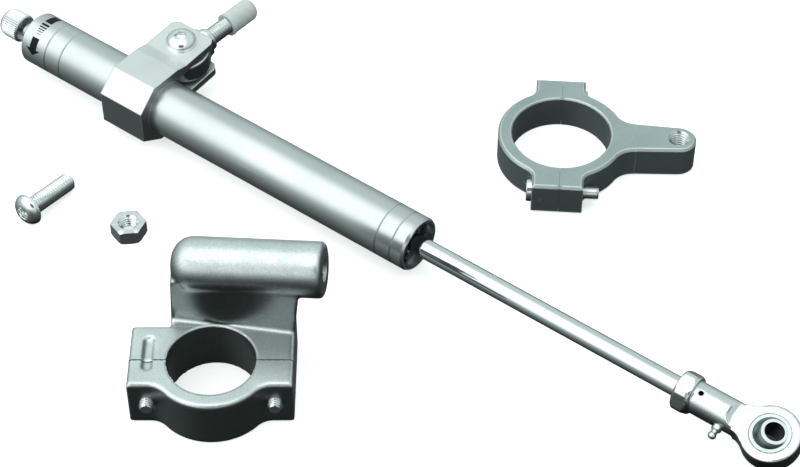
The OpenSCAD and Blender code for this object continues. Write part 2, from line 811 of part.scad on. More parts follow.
// Outline of the clamp round the tube: Y and Z from the tube axis
module clamp_block_outline() {
    front = tube_r + clamp_front_wall;
    top = tube_r + clamp_top_wall;
    base = -floor_z;
    back = tube_r + 2.4;
    polygon([[-front, -8.5], [-tube_r * 0.45, -base], [tube_r * 0.35, -base],
        [back, -tube_r * 0.55], [back, ear_under], [ear_root, ear_under + 0.3],
        [ear_root, ear_top - ear_dip], [slope_top, top - 0.25], [slope_top - 1.2, top],
        [-tube_r * 0.57, top], [-front, 7.2]]);
}

// Outline of the two ears, Y and Z from the ball
module ear_outline() {
    half = ear_gap / 2;
    under = -half - ear_t;
    high_root = pivot_y - tube_r * 0.8;        // the upper ear starts above the tube
    low_root = pivot_y - tube_r - 0.5;         // the lower ear starts clear of the bore
    wall = tube_r - pivot_y;
    translate([-high_root, half]) square([high_root + ear_end, ear_t]);
    translate([-low_root, under]) square([low_root + ear_end, ear_t]);
    polygon([[-low_root, under - 2], [wall + 2, under - 2.2], [wall + 4.2, under - 0.7],
        [wall + 6.4, under], [-low_root, under + 0.5]]);
}

module tube_clamp() {
    half = clamp_w / 2;
    color("silver") difference() {
        union() {
            from_rim() translate([clamp_x - half, 0, 0]) rotate([90, 0, 90])
                linear_extrude(clamp_w) clamp_block_outline();
            pivot_frame() translate([-half, 0, 0]) rotate([90, 0, 90])
                linear_extrude(clamp_w) ear_outline();
        }
        from_rim() bar(clamp_x - clamp_w, clamp_x + clamp_w, tube_r + close_fit, fine);
        pivot_frame() {
            translate([-clamp_w, -pivot_y, -ear_gap / 2])
                cube([2 * clamp_w, 2 * pivot_y, ear_gap]);
            translate([0, 0, -tube_d]) cylinder(r = large_r + 0.2, h = 2 * tube_d, $fn = fine);
            for (s = [0, 1]) mirror([s, 0, 0])
                translate([half - ear_corner, ear_end - ear_corner, -tube_d]) difference() {
                    cube([ear_corner + over, ear_corner + over, 2 * tube_d]);
                    translate([0, 0, -over])
                        cylinder(r = ear_corner + blend, h = 2 * tube_d + 2 * over, $fn = plain);
                }
        }
    }
}

// A button head screw with its seat at Z zero, head up
module button_screw(length) {
    dome = 5;
    outline = concat([[0, -length], [large_r - 0.8, -length], [large_r, -length + 0.8],
        [large_r, 0], [button_r, 0], [button_r, 0.5]],
        [for (i = [1:dome]) let(a = 78 * i / dome)
            [button_r * cos(a) * 0.97, 0.5 + (button_h - 0.5) * sin(a) / sin(78)]],
        [[0, button_h]]);
    difference() {
        rotate_extrude($fn = fine) polygon(outline);
        translate([0, 0, button_h - 2.6]) cylinder(r = socket_af / 2 * to_corner, h = 4, $fn = 6);
    }
}

// A hexagon nut standing on Z zero, with turned corners and a bore
module hex_nut(height, bore_r) {
    corner_r = nut_af / 2 * to_corner;
    ease = 1.1;
    difference() {
        intersection() {
            cylinder(r = corner_r, h = height, $fn = 6);
            rotate_extrude($fn = fine)
                polygon([[0, 0], [corner_r - ease, 0], [corner_r + 0.1, ease * 0.6],
                    [corner_r + 0.1, height - ease * 0.6], [corner_r - ease, height], [0, height]]);
        }
        translate([0, 0, -over]) cylinder(r = bore_r, h = height + 2 * over, $fn = fine);
        for (z = [0, height]) translate([0, 0, z])
            rotate_extrude($fn = plain)
                polygon([[0, -bore_r * 0.25], [bore_r, -bore_r * 0.25], [bore_r, -0.8],
                    [bore_r + 0.8, 0], [bore_r, 0.8], [0, bore_r * 0.25]]);
    }
}

module clevis_screw() {
    color("silver") pivot_frame() translate([0, 0, ear_gap / 2 + ear_t]) button_screw(clevis_l);
}

module clevis_nut() {
    color("silver") pivot_frame() translate([0, 0, -ear_gap / 2 - ear_t - lock_nut_h]) rotate(15)
        hex_nut(lock_nut_h, large_r + close_fit);
}

// The frame side rod end's own frame: eye at the origin, stud along +X
module stud_frame() {
    pivot_frame() rotate([0, 0, 90 - stud_swing]) children();
}

module frame_rod_end() {
    color("silver") stud_frame() difference() {
        union() {
            eye_ring();
            eye_web(neck_half, 6);
            turned([[0, eye_r - 3.5], [neck_half, eye_r - 3.5], [neck_half, stud_neck_x - 0.8],
                [stud_d / 2 + 0.4, stud_neck_x], [stud_d / 2, stud_neck_x],
                [stud_d / 2, stud_reach - 0.8], [stud_d / 2 - 0.8, stud_reach], [0, stud_reach]]);
        }
        spot_faces(eye_r + neck_relief);
        race_seat();
    }
}

module frame_rod_end_race() {
    color("darkgray") stud_frame() race_ring();
}

module frame_rod_end_ball() {
    color("whitesmoke") pivot_frame() eye_ball(large_r + close_fit);
}

module stud_cap() {
    x0 = stud_reach - cap_cover;
    ri = stud_d / 2 + fit;
    ro = ri + cap_wall;
    end_x = x0 + cap_l;
    color("honeydew") stud_frame()
        turned(concat([[ri, x0], [ro + 0.25, x0], [ro + 0.25, x0 + 1.4], [ro, x0 + 1.6]],
            arc(ro - 3, end_x - 3, 3, 0, 90, 6),
            [[0, end_x], [0, stud_reach + 0.3], [ri, stud_reach + 0.3]]));
}

// The clamp pieces lie on the bench, in frames of their own
module fork_frame() {
    from_rim() translate([fork_at_x, fork_at_y, floor_z]) rotate(fork_turn) children();
}

module frame_frame() {
    from_rim() translate([frame_at_x, frame_at_y, floor_z]) rotate(frame_turn) children();
}

// A disc on Z zero with chamfered edges
module eased_disc(r, h, c, facets = fine) {
    rotate_extrude($fn = facets)
        polygon([[0, 0], [r - c, 0], [r, c], [r, h - c], [r - c, h], [0, h]]);
}

// A block on Z zero whose sides and top and bottom edges are chamfered
module eased_block(x0, x1, y0, y1, h, c) {
    intersection() {
        translate([x0, 0, 0]) rotate([90, 0, 90]) linear_extrude(x1 - x0)
            polygon([[y0 + c, 0], [y1 - c, 0], [y1, c], [y1, h - c], [y1 - c, h], [y0 + c, h],
                [y0, h - c], [y0, c]]);
        translate([0, y1, 0]) rotate([90, 0, 0]) linear_extrude(y1 - y0)
            polygon([[x0 + c, 0], [x1 - c, 0], [x1, c], [x1, h - c], [x1 - c, h], [x0 + c, h],
                [x0, h - c], [x0, c]]);
    }
}

// A cutter that leaves a concave fillet with chamfered edges
module fillet_cutter(r, h, c) {
    rotate_extrude($fn = fine)
        polygon([[0, -over], [r + c + over, -over], [r, c], [r, h - c],
            [r + c + over, h + over], [0, h + over]]);
}

// Fillet between a ring of radius r and a face at x = side, on the +Y side
module ring_to_side(r, side, fillet, h, c) {
    cx = side + fillet;
    cy = sqrt(pow(r + fillet, 2) - cx * cx);
    difference() {
        linear_extrude(h)
            polygon([[0, 0], [cx * r / (r + fillet), cy * r / (r + fillet)], [cx, cy], [side, cy],
                [0, cy]]);
        translate([cx, cy, 0]) fillet_cutter(fillet + blend, h, c);
    }
}

// Fillet between a ring of radius r and an arm edge at y = side, on the +X side
module ring_to_arm(r, side, fillet, h, c) {
    cy = side + fillet;
    cx = sqrt(pow(r + fillet, 2) - cy * cy);
    difference() {
        linear_extrude(h)
            polygon([[0, 0], [cx, 0], [cx, side], [cx, cy],
                [cx * r / (r + fillet), cy * r / (r + fillet)]]);
        translate([cx, cy, 0]) fillet_cutter(fillet + blend, h, c);
    }
}

// The place of a fork clamp screw: the far one goes in from the arm's side
module at_fork_screw(far) {
    translate([far ? fork_far_seat : fork_seat, far ? fork_screw_y : -fork_screw_y, fork_h / 2])
        rotate(far ? 180 : 0) children();
}

module fork_clamp_blank(near_r, far_r) {
    difference() {
        union() {
            eased_disc(fork_ro, fork_h, fork_edge);
            for (s = [0, 1]) mirror([0, s, 0]) {
                eased_block(-fork_cap_lug, fork_arm_lug, 0, fork_lug_end, fork_h, fork_edge);
                ring_to_side(fork_ro, fork_arm_lug, fork_lug_fillet, fork_h, fork_edge);
                mirror([1, 0, 0])
                    ring_to_side(fork_ro, fork_cap_lug, fork_lug_fillet, fork_h, fork_edge);
                ring_to_arm(fork_ro, arm_root_r - 0.3, arm_fillet, fork_h, fork_edge);
            }
            hull() {
                translate([fork_ri + 3, 0, 0]) eased_disc(arm_root_r, fork_h, fork_edge, plain);
                translate([arm_reach, 0, 0]) eased_disc(arm_end_r, fork_h, fork_edge, plain);
            }
        }
        translate([0, 0, -over]) cylinder(r = fork_ri, h = fork_h + 2 * over, $fn = fine);
        translate([0, 0, fork_h]) bore_ease(fork_ri, 0.6);
        for (far = [false, true]) at_fork_screw(far) {
            bar(-over, 2 * fork_ro, far ? far_r : near_r);
            bar(-2 * fork_ro, 0, cap_head_r + head_clear);
        }
    }
}

// A small chamfer round the mouth of a bore, at Z zero and opening upward
module bore_ease(r, c) {
    rotate_extrude($fn = fine) polygon([[0, -c], [r, -c], [r + c + over, over], [0, over]]);
}

module fork_clamp_arm() {
    color("darkseagreen") fork_frame() difference() {
        fork_clamp_blank(small_tap_r, small_r + small_clear);
        translate([-4 * fork_ro + fork_split / 2, -2 * fork_ro, -over])
            cube([4 * fork_ro, 4 * fork_ro, fork_h + 2 * over]);
        translate([arm_reach, 0, -over]) cylinder(r = large_tap_r, h = fork_h + 2 * over, $fn = fine);
        translate([arm_reach, 0, fork_h]) bore_ease(large_tap_r, 1.4);
    }
}

module fork_clamp_cap() {
    color("darkseagreen") fork_frame() difference() {
        fork_clamp_blank(small_r + small_clear, small_tap_r);
        translate([-fork_split / 2, -2 * fork_ro, -over])
            cube([4 * fork_ro, 4 * fork_ro, fork_h + 2 * over]);
    }
}

// A socket cap screw along +X with its seat at X zero
module cap_screw(length) {
    difference() {
        turned([[0, -cap_head_h], [cap_head_r - 0.5, -cap_head_h], [cap_head_r, 0.5 - cap_head_h],
            [cap_head_r, 0], [small_r, 0], [small_r, length - 0.7], [small_r - 0.7, length],
            [0, length]]);
        hex_bar(-cap_head_h - over, -cap_head_h + 3, m_small * 0.42);
    }
}

module fork_clamp_screws() {
    color("gray") fork_frame() for (far = [false, true])
        at_fork_screw(far) cap_screw(far ? fork_far_screw_l : fork_screw_l);
}

module frame_clamp_cap() {
    color("silver") frame_frame() difference() {
        union() {
            eased_disc(frame_ro, frame_h, frame_edge);
            eased_block(-frame_half_w, frame_half_w, -frame_cap_lug, frame_cap_lug, frame_h,
                frame_edge);
            for (s = [0, 1]) mirror([s, 0, 0]) mirror([0, 1, 0])
                ring_to_arm(frame_ro, frame_cap_lug, frame_fillet, frame_h, frame_edge);
        }
        frame_bore_cut();
        translate([-2 * frame_half_w, -frame_split / 2, -over])
            cube([4 * frame_half_w, 4 * frame_half_w, frame_h + 2 * over]);
        frame_screw_holes(small_tap_r);
        alignment_mark();
    }
}

module frame_bore_cut() {
    translate([0, 0, -over]) cylinder(r = frame_ri, h = frame_h + 2 * over, $fn = fine);
}

// Clamp screw holes along Y, with seats for the heads on the rear half
module frame_screw_holes(r) {
    for (s = [-1, 1]) translate([s * frame_screw_x, 0, frame_h / 2]) {
        translate([0, frame_seat + over, 0]) rotate([90, 0, 0])
            cylinder(r = r, h = 3 * frame_h, $fn = plain);
        translate([0, frame_seat, 0]) rotate([-90, 0, 0])
            cylinder(r = cap_head_r + head_clear, h = 3 * frame_h, $fn = plain);
    }
}

// A shallow groove across the split shows how the halves go together
module alignment_mark() {
    translate([mark_x, 0, frame_h - mark_depth]) {
        translate([-mark_w / 2, -3.4, 0]) cube([mark_w, 13.4, mark_depth + over]);
        for (y = [-3.4, 10]) translate([0, y, 0])
            cylinder(r = mark_w / 2, h = mark_depth + over, $fn = 32);
    }
}

// The boss's own frame: X along the boss from its middle over the web
module boss_frame() {
    translate([web_mid_x, boss_back, boss_z]) rotate([0, -boss_rise, boss_slope]) children();
}

module boss_solid() {
    r = boss_d / 2;
    closed = boss_open - boss_l;
    boss_frame() turned(concat([[0, closed]],
        arc(r - boss_corner, closed + boss_corner, boss_corner, -90, 0, 8),
        [[r, boss_open - 1.5], [r - 0.45, boss_open - 0.45], [r - 1.5, boss_open],
            [0, boss_open]]));
}

// Side view of the web: draft on its left edge, flare on its right
module web_elevation() {
    polygon([[web_left, over], [web_left, frame_h], [web_top_left, web_top],
        [web_top_right, web_top], [frame_half_w - blend, frame_h], [frame_half_w - blend, over]]);
}

// Stands a side view up and gives it depth
module side_view(depth) {
    translate([0, depth, 0]) rotate([90, 0, 0]) linear_extrude(2 * depth) children();
}

// Upright web under the boss, cut to its leaning plan
module web_solid() {
    long = 3 * frame_half_w;
    intersection() {
        translate([web_mid_x, web_front, 0]) rotate(web_slope) {
            translate([-long, 0, 0]) cube([2 * long, web_t, 2 * boss_z]);
            translate([-long, -web_t, 0]) cube([2 * long, web_t + over, frame_h - frame_edge]);
        }
        side_view(long) web_elevation();
    }
}

module frame_clamp_bracket() {
    color("silver") frame_frame() difference() {
        union() {
            eased_block(-frame_half_w, frame_half_w, -frame_rear, frame_rear, frame_h,
                frame_edge);
            web_solid();
            boss_solid();
        }
        frame_bore_cut();
        translate([-2 * frame_half_w, -4 * frame_half_w + frame_split / 2, -over])
            cube([4 * frame_half_w, 4 * frame_half_w, frame_h + 2 * over]);
        frame_screw_holes(small_r + small_clear);
        alignment_mark();
        boss_frame() {
            bar(boss_open - boss_bore_l, boss_open + over, large_tap_r, fine);
            translate([boss_open, 0, 0]) rotate([0, 90, 0]) bore_ease(large_tap_r, 1.2);
        }
    }
}

module frame_clamp_screws() {
    color("gray") frame_frame() for (s = [-1, 1])
        translate([s * frame_screw_x, frame_seat, frame_h / 2]) rotate(-90) cap_screw(frame_screw_l);
}

module loose_screw() {
    color("silver") from_rim() translate([loose_at_x, loose_at_y, floor_z]) rotate(loose_turn)
        translate([0, 0, button_r]) rotate([0, loose_lean, 0]) translate([0, 0, -0.02])
            rotate([0, -90, 0]) button_screw(loose_l);
}

module loose_nut() {
    color("silver") from_rim() translate([nut_at_x, nut_at_y, floor_z]) rotate(nut_turn)
        hex_nut(nut_h, large_tap_r);
}

outer_tube();
inner_cylinder();
valve_head();
valve_head_seals();
rear_circlip();
detent_ball();
detent_spring();
adjuster_spindle();
adjuster_knob();
knob_set_screw();
spindle_seal();
metering_needle();
reservoir_foam();
rod_guide();
guide_bushing();
rod_seal();
wiper_seal();
guide_seal();
front_circlip();
piston_rod();
piston();
piston_ring();
piston_washer();
piston_nut();
rod_eye_housing();
rod_eye_race();
rod_eye_ball();
grease_nipple();
tube_clamp();
clevis_screw();
clevis_nut();
frame_rod_end();
frame_rod_end_race();
frame_rod_end_ball();
stud_cap();
fork_clamp_arm();
fork_clamp_cap();
fork_clamp_screws();
frame_clamp_bracket();
frame_clamp_cap();
frame_clamp_screws();
loose_screw();
loose_nut();
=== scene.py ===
import json
import math
import bmesh
import bpy
from mathutils import Matrix, Vector


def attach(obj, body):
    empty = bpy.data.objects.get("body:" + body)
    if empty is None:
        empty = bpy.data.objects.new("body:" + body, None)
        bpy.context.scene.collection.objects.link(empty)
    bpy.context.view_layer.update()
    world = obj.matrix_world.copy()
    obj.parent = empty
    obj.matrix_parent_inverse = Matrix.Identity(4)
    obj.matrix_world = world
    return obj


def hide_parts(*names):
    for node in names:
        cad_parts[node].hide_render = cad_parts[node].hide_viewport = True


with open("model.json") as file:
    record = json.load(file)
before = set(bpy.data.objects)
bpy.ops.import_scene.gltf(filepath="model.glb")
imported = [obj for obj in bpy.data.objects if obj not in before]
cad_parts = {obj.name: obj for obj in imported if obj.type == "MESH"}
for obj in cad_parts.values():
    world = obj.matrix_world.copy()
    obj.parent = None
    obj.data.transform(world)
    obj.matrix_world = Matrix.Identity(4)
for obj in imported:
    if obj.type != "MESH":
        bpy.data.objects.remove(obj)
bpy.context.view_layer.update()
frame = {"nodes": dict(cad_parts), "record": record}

nodes = frame["nodes"]
mm = 0.001


def linearColour(hexText):
    # sRGB hex to the linear values that the shaders use
    values = [int(hexText[i:i + 2], 16) / 255 for i in (1, 3, 5)]
    return [v / 12.92 if v <= 0.04045 else ((v + 0.055) / 1.055) ** 2.4 for v in values] + [1.0]


def addNode(tree, kind, settings={}, links={}):
    # kind is the node's type without its prefix; settings are socket names, socket numbers or properties,
    # and links are input to output socket
    node = tree.nodes.new("ShaderNode" + kind)
    for key, value in settings.items():
        if isinstance(key, int) or key in node.inputs.keys():
            node.inputs[key].default_value = value
        else:
            setattr(node, key, value)
    for key, source in links.items():
        tree.links.new(source, node.inputs[key])
    return node


def perMillimetre(size):
    # a texture scale that repeats about every size mm, for coordinates in metres
    return 1 / (size * mm)


def turnX(degrees):
    return Matrix.Rotation(math.radians(degrees), 4, "X")


def turnY(degrees):
    return Matrix.Rotation(math.radians(degrees), 4, "Y")


def turnZ(degrees):
    return Matrix.Rotation(math.radians(degrees), 4, "Z")


def shift(x, y, z):
    return Matrix.Translation((x * mm, y * mm, z * mm))


# the photograph's own view, solved from the damper and the clamps, in mm from the rod eye; clip is in metres
cameraView = {"azimuth": 37.285, "elevation": 45.99, "distance": 923.85, "lens": 100, "sensor": 36,
              "target": (-178.32, 0.54, 0.0), "clip": (0.05, 30)}


def makeCamera():
    az, el = (math.radians(cameraView[key]) for key in ("azimuth", "elevation"))
    back = Vector((math.sin(az) * math.cos(el), -math.cos(az) * math.cos(el), math.sin(el)))
    right = Vector((math.cos(az), math.sin(az), 0))
    up = back.cross(right)
    data = bpy.data.cameras.new("photoCamera")
    data.lens = cameraView["lens"]
    data.sensor_width = cameraView["sensor"]
    data.clip_start, data.clip_end = cameraView["clip"]
    camera = bpy.data.objects.new("photoCamera", data)
    place = Vector(cameraView["target"]) * mm + back * cameraView["distance"] * mm
    camera.matrix_world = Matrix.Translation(place) @ Matrix((right, up, back)).transposed().to_4x4()
    bpy.context.scene.collection.objects.link(camera)
    bpy.context.scene.camera = camera


makeCamera()
print("camera placed")

# a light tent with one wide soft box above and a dark slot for the lens, dark below, over a pale floor;
# left and right hold the tent's brightness by height, from straight below (-1) to straight above (1),
# and shade is the place in mm of a painted shadow on the floor, where the floor shows through the rod eye's bore
studio = {"key": "#FBFFFF", "keyStrength": 1.62, "keyDirection": (-0.12, -0.50, 0.86), "keyEdge": (0.45, 0.92),
          "left": [(-1.0, 0.01), (-0.86, 0.07), (-0.5, 0.20), (-0.3, 0.32), (-0.05, 0.52), (0.3, 0.72),
                   (0.5, 0.78)],
          "right": [(-1.0, 0.01), (-0.72, 0.055), (-0.29, 0.10), (-0.08, 0.20), (0.1, 0.45), (0.26, 0.58),
                    (0.55, 0.76)],
          "tint": (0.88, 1.0, 0.99), "sideEdge": (-0.45, 0.30), "backdrop": "#FDFEFD",
          "slot": (0.4208, -0.5527, 0.7192), "slotEdge": (0.975, 0.925), "slotTone": 0.12,
          "floor": "#F7F8F7", "floorGlow": 0.60, "floorSize": 9.0, "floorHeight": -15.02, "floorRoughness": 0.9,
          "shade": (-6.0, 9.6), "shadeEdge": (5.5, 7.5), "shadeReach": 45, "shadeCover": (0.97, 0.88),
          "shadeTone": 0.02}


def tentRamp(tree, rows, height):
    ramp = addNode(tree, "ValToRGB", {}, {"Fac": height})
    points = ramp.color_ramp.elements
    while len(points) < len(rows):
        points.new(0.5)
    for point, (level, value) in zip(points, rows):
        point.position = (level + 1) / 2
        point.color = [value * share for share in studio["tint"]] + [1]
    return ramp.outputs["Color"]


def makeWorld():
    world = bpy.data.worlds.new("lightTent")
    world.use_nodes = True
    tree = world.node_tree
    tree.nodes.clear()
    direction = addNode(tree, "TexCoord").outputs["Generated"]
    parts = addNode(tree, "SeparateXYZ", {}, {"Vector": direction})
    height = addNode(tree, "MapRange", {"From Min": -1.0, "From Max": 1.0}, {"Value": parts.outputs["Z"]})
    low, high = studio["sideEdge"]
    side = addNode(tree, "MapRange", {"interpolation_type": "SMOOTHSTEP", "From Min": low, "From Max": high},
                   {"Value": parts.outputs["X"]})
    walls = addNode(tree, "Mix", {"data_type": "RGBA"},
                    {0: side.outputs["Result"], 6: tentRamp(tree, studio["left"], height.outputs["Result"]),
                     7: tentRamp(tree, studio["right"], height.outputs["Result"])})
    toward = addNode(tree, "VectorMath",
                     {"operation": "DOT_PRODUCT", 1: Vector(studio["keyDirection"]).normalized()}, {0: direction})
    low, high = studio["keyEdge"]
    keyShare = addNode(tree, "MapRange", {"interpolation_type": "SMOOTHSTEP", "From Min": low, "From Max": high},
                       {"Value": toward.outputs["Value"]})
    white = [v * studio["keyStrength"] for v in linearColour(studio["key"])[:3]] + [1]
    tent = addNode(tree, "Mix", {"data_type": "RGBA", 7: white},
                   {0: keyShare.outputs["Result"], 6: walls.outputs[2]})
    # the lens looks in through a dark slot, which the polished faces mirror
    facing = addNode(tree, "VectorMath", {"operation": "DOT_PRODUCT", 1: Vector(studio["slot"]).normalized()},
                     {0: direction})
    low, high = studio["slotEdge"]
    cloth = addNode(tree, "MapRange", {"interpolation_type": "SMOOTHSTEP", "From Min": low, "From Max": high,
                                       "To Min": studio["slotTone"]}, {"Value": facing.outputs["Value"]})
    slotted = addNode(tree, "VectorMath", {"operation": "SCALE"},
                      {0: tent.outputs[2], "Scale": cloth.outputs["Result"]})
    sight = addNode(tree, "LightPath")
    seen = addNode(tree, "Mix", {"data_type": "RGBA", 7: linearColour(studio["backdrop"])},
                   {0: sight.outputs["Is Camera Ray"], 6: slotted.outputs[0]})
    background = addNode(tree, "Background", {}, {"Color": seen.outputs[2]})
    addNode(tree, "OutputWorld", {}, {"Surface": background.outputs[0]})
    bpy.context.scene.world = world


def makeFloor():
    side = studio["floorSize"] / 2
    height = studio["floorHeight"] * mm
    mesh = bpy.data.meshes.new("paleFloor")
    mesh.from_pydata([(-side, -side, height), (side, -side, height), (side, side, height), (-side, side, height)],
                     [], [(0, 1, 2, 3)])
    floor = bpy.data.objects.new("paleFloor", mesh)
    bpy.context.scene.collection.objects.link(floor)
    material = bpy.data.materials.new("paleBoard")
    material.use_nodes = True
    mesh.materials.append(material)
    tree = material.node_tree
    shader = tree.nodes["Principled BSDF"]
    shader.inputs["Roughness"].default_value = studio["floorRoughness"]
    shader.inputs["Emission Strength"].default_value = studio["floorGlow"]
    # painted shadow: the floor's colour and glow are darkened in a spot where it shows through the rod eye's bore,
    # for as long as ambient occlusion finds the eye over it
    place = addNode(tree, "TexCoord").outputs["Object"]
    away = addNode(tree, "VectorMath",
                   {"operation": "DISTANCE", 1: Vector((*studio["shade"], studio["floorHeight"])) * mm}, {0: place})
    low, high = (value * mm for value in studio["shadeEdge"])
    shadowSpot = addNode(tree, "MapRange", {"From Min": low, "From Max": high, "To Min": studio["shadeTone"]},
                  {"Value": away.outputs["Value"]})
    above = addNode(tree, "AmbientOcclusion", {"samples": 16, "Distance": studio["shadeReach"] * mm})
    low, high = studio["shadeCover"]
    shadowCover = addNode(tree, "MapRange", {"From Min": low, "From Max": high}, {"Value": above.outputs["AO"]})
    share = addNode(tree, "Mix", {"data_type": "FLOAT", 2: 1.0},
                    {0: shadowCover.outputs["Result"], 3: shadowSpot.outputs["Result"]})
    tone = addNode(tree, "Mix", {"data_type": "RGBA", 6: (0, 0, 0, 1), 7: linearColour(studio["floor"])},
                   {0: share.outputs[0]})
    tree.links.new(tone.outputs[2], shader.inputs["Base Color"])
    tree.links.new(tone.outputs[2], shader.inputs["Emission Color"])
    floor.visible_glossy = False  # the metals mirror the dark under the tent, as in the photograph
    floor.visible_diffuse = False


makeWorld()
makeFloor()
view = bpy.context.scene.view_settings
view.view_transform = "Standard"
view.look = "None"
print("studio built")


# where the loose and screwed pieces lie: the same places as the CAD, in mm from the rod eye and in degrees
rim = -384.5  # X of the tube's rear rim
placing = {
    "pivot": (rim + 66.1, 24.85, 5.45), "earRise": 3, "studSwing": 5, "benchZ": -15,
    "forkAt": (rim + 225.2, 91.3), "forkTurn": 33, "frameAt": (rim + 193.4, -104.2), "frameTurn": 37.3,
    "looseAt": (rim + 67.2, -77.2), "looseTurn": 91, "looseLength": 25, "nutAt": (rim + 105.6, -57.3),
    "nutTurn": 14,
}
pivotPlace = shift(*placing["pivot"]) @ turnX(placing["earRise"])
studPlace = pivotPlace @ turnZ(90 - placing["studSwing"])
forkPlace = shift(*placing["forkAt"], placing["benchZ"]) @ turnZ(placing["forkTurn"])
framePlace = shift(*placing["frameAt"], placing["benchZ"]) @ turnZ(placing["frameTurn"])


# what all skins share: how the noises turn into shares, where the painted shade of steep faces and the painted
# highlight of edges begin (cosines), how far from a joint line in mm the edges begin to be rounded, the dark
# thread's tone, the length of lathe lines
skinLook = {"mottleBand": (0.3, 0.7), "grainBand": (0.25, 0.75), "uprightShadeFrom": 0.1, "edgeHighlightBand": (0.995, 0.94),
             "splitBand": (1.0, 1.4), "bevelSamples": 6, "darkThreadTone": "#0A0C0C", "alongLines": 2.0}


def makeMetal(name, recipe):
    # a recipe has two tones that drift over mottle mm, speckled by a grain of grain mm that is grainHeight mm
    # deep, and roughness from low to high; the rest is optional. edge rounds edges over so many mm, edgeHighlight
    # is the tone of a painted highlight on those edges, split is the place, turn and axis of a joint line that
    # stays
    # sharp, uprightShade is the painted shade: the share of brightness left on vertical faces and the slope that
    # has it all, flats are the axis, reach and tone of a painted highlight on ground end faces, darkBeyond is the X
    # in mm past which the skin is near black, and lines of so many mm stand across lineAxis, lineHeight mm deep
    material = bpy.data.materials.new(name)
    material.use_nodes = True
    tree = material.node_tree
    shader = tree.nodes["Principled BSDF"]
    shader.inputs["Metallic"].default_value = 1.0
    place = addNode(tree, "TexCoord").outputs["Object"]
    mottle = addNode(tree, "TexNoise", {"Scale": perMillimetre(recipe["mottle"]), "Detail": 3.0, "Roughness": 0.55},
                     {"Vector": place})
    grain = addNode(tree, "TexNoise", {"Scale": perMillimetre(recipe["grain"]), "Detail": 2.0, "Roughness": 0.6},
                    {"Vector": place})
    low, high = skinLook["mottleBand"]
    mottleShare = addNode(tree, "MapRange", {"From Min": low, "From Max": high}, {"Value": mottle.outputs["Fac"]})
    low, high = skinLook["grainBand"]
    grainShare = addNode(tree, "MapRange", {"From Min": low, "From Max": high}, {"Value": grain.outputs["Fac"]})
    tone = addNode(tree, "Mix",
                   {"data_type": "RGBA", 6: linearColour(recipe["tones"][0]), 7: linearColour(recipe["tones"][1])},
                   {0: mottleShare.outputs["Result"]})
    speckle = addNode(tree, "Mix",
                      {"data_type": "RGBA", "blend_type": "MULTIPLY", 7: linearColour(recipe["speckle"])},
                      {0: grainShare.outputs["Result"], 6: tone.outputs[2]})
    skin = speckle.outputs[2]
    if recipe.get("uprightShade"):
        # painted shade: faces are darkened the steeper they stand, down to the least share when vertical,
        # and faces as level as the slope keep full brightness
        facing = addNode(tree, "SeparateXYZ", {}, {"Vector": addNode(tree, "TexCoord").outputs["Normal"]})
        level = addNode(tree, "Math", {"operation": "ABSOLUTE"}, {0: facing.outputs["Z"]})
        least, full = recipe["uprightShade"]
        reach = addNode(tree, "MapRange", {"From Min": skinLook["uprightShadeFrom"], "From Max": full, "To Min": least},
                        {"Value": level.outputs[0]})
        sideShaded = addNode(tree, "VectorMath", {"operation": "SCALE"}, {0: skin, "Scale": reach.outputs["Result"]})
        skin = sideShaded.outputs[0]
    if recipe.get("flats"):
        # painted highlight: the ball's ground end faces are painted near white, far brighter than its lapped sphere
        axis, beyond, flatHighlightTone = recipe["flats"]
        along = addNode(tree, "VectorMath", {"operation": "DOT_PRODUCT", 1: Vector(axis)}, {0: place})
        ends = addNode(tree, "Math", {"operation": "ABSOLUTE"}, {0: along.outputs["Value"]})
        ground = addNode(tree, "Math", {"operation": "GREATER_THAN", 1: beyond * mm}, {0: ends.outputs[0]})
        flatHighlighted = addNode(tree, "Mix", {"data_type": "RGBA", 7: linearColour(flatHighlightTone)},
                         {0: ground.outputs[0], 6: skin})
        skin = flatHighlighted.outputs[2]
    tree.links.new(skin, shader.inputs["Base Color"])
    low, high = recipe["roughness"]
    blend = addNode(tree, "Math", {"operation": "MULTIPLY_ADD", 1: 0.5, 2: 0.0}, {0: mottleShare.outputs["Result"]})
    both = addNode(tree, "Math", {"operation": "MULTIPLY_ADD", 1: 0.5},
                   {0: grainShare.outputs["Result"], 2: blend.outputs[0]})
    polish = addNode(tree, "MapRange", {"To Min": low, "To Max": high}, {"Value": both.outputs[0]})
    tree.links.new(polish.outputs["Result"], shader.inputs["Roughness"])
    normal = None
    if recipe.get("edge"):
        normal = addNode(tree, "Bevel",
                         {"samples": skinLook["bevelSamples"], "Radius": recipe["edge"] * mm}).outputs["Normal"]
    if recipe.get("split"):
        # the halves meet in a sharp line: no rounding beside it, and so no painted edge highlight
        at, halfTurn, axis = recipe["split"]
        inHalf = addNode(tree, "Mapping", {"vector_type": "TEXTURE", "Location": (at[0] * mm, at[1] * mm, 0),
                                           "Rotation": (0, 0, math.radians(halfTurn))}, {"Vector": place})
        parts = addNode(tree, "SeparateXYZ", {}, {"Vector": inHalf.outputs[0]})
        away = addNode(tree, "Math", {"operation": "ABSOLUTE"}, {0: parts.outputs[axis]})
        low, high = (value * mm for value in skinLook["splitBand"])
        clear = addNode(tree, "MapRange", {"From Min": low, "From Max": high}, {"Value": away.outputs[0]})
        flat = addNode(tree, "NewGeometry").outputs["Normal"]
        kept = addNode(tree, "Mix", {"data_type": "VECTOR"}, {0: clear.outputs["Result"], 4: flat, 5: normal})
        normal = kept.outputs[1]
    if recipe.get("edgeHighlight"):
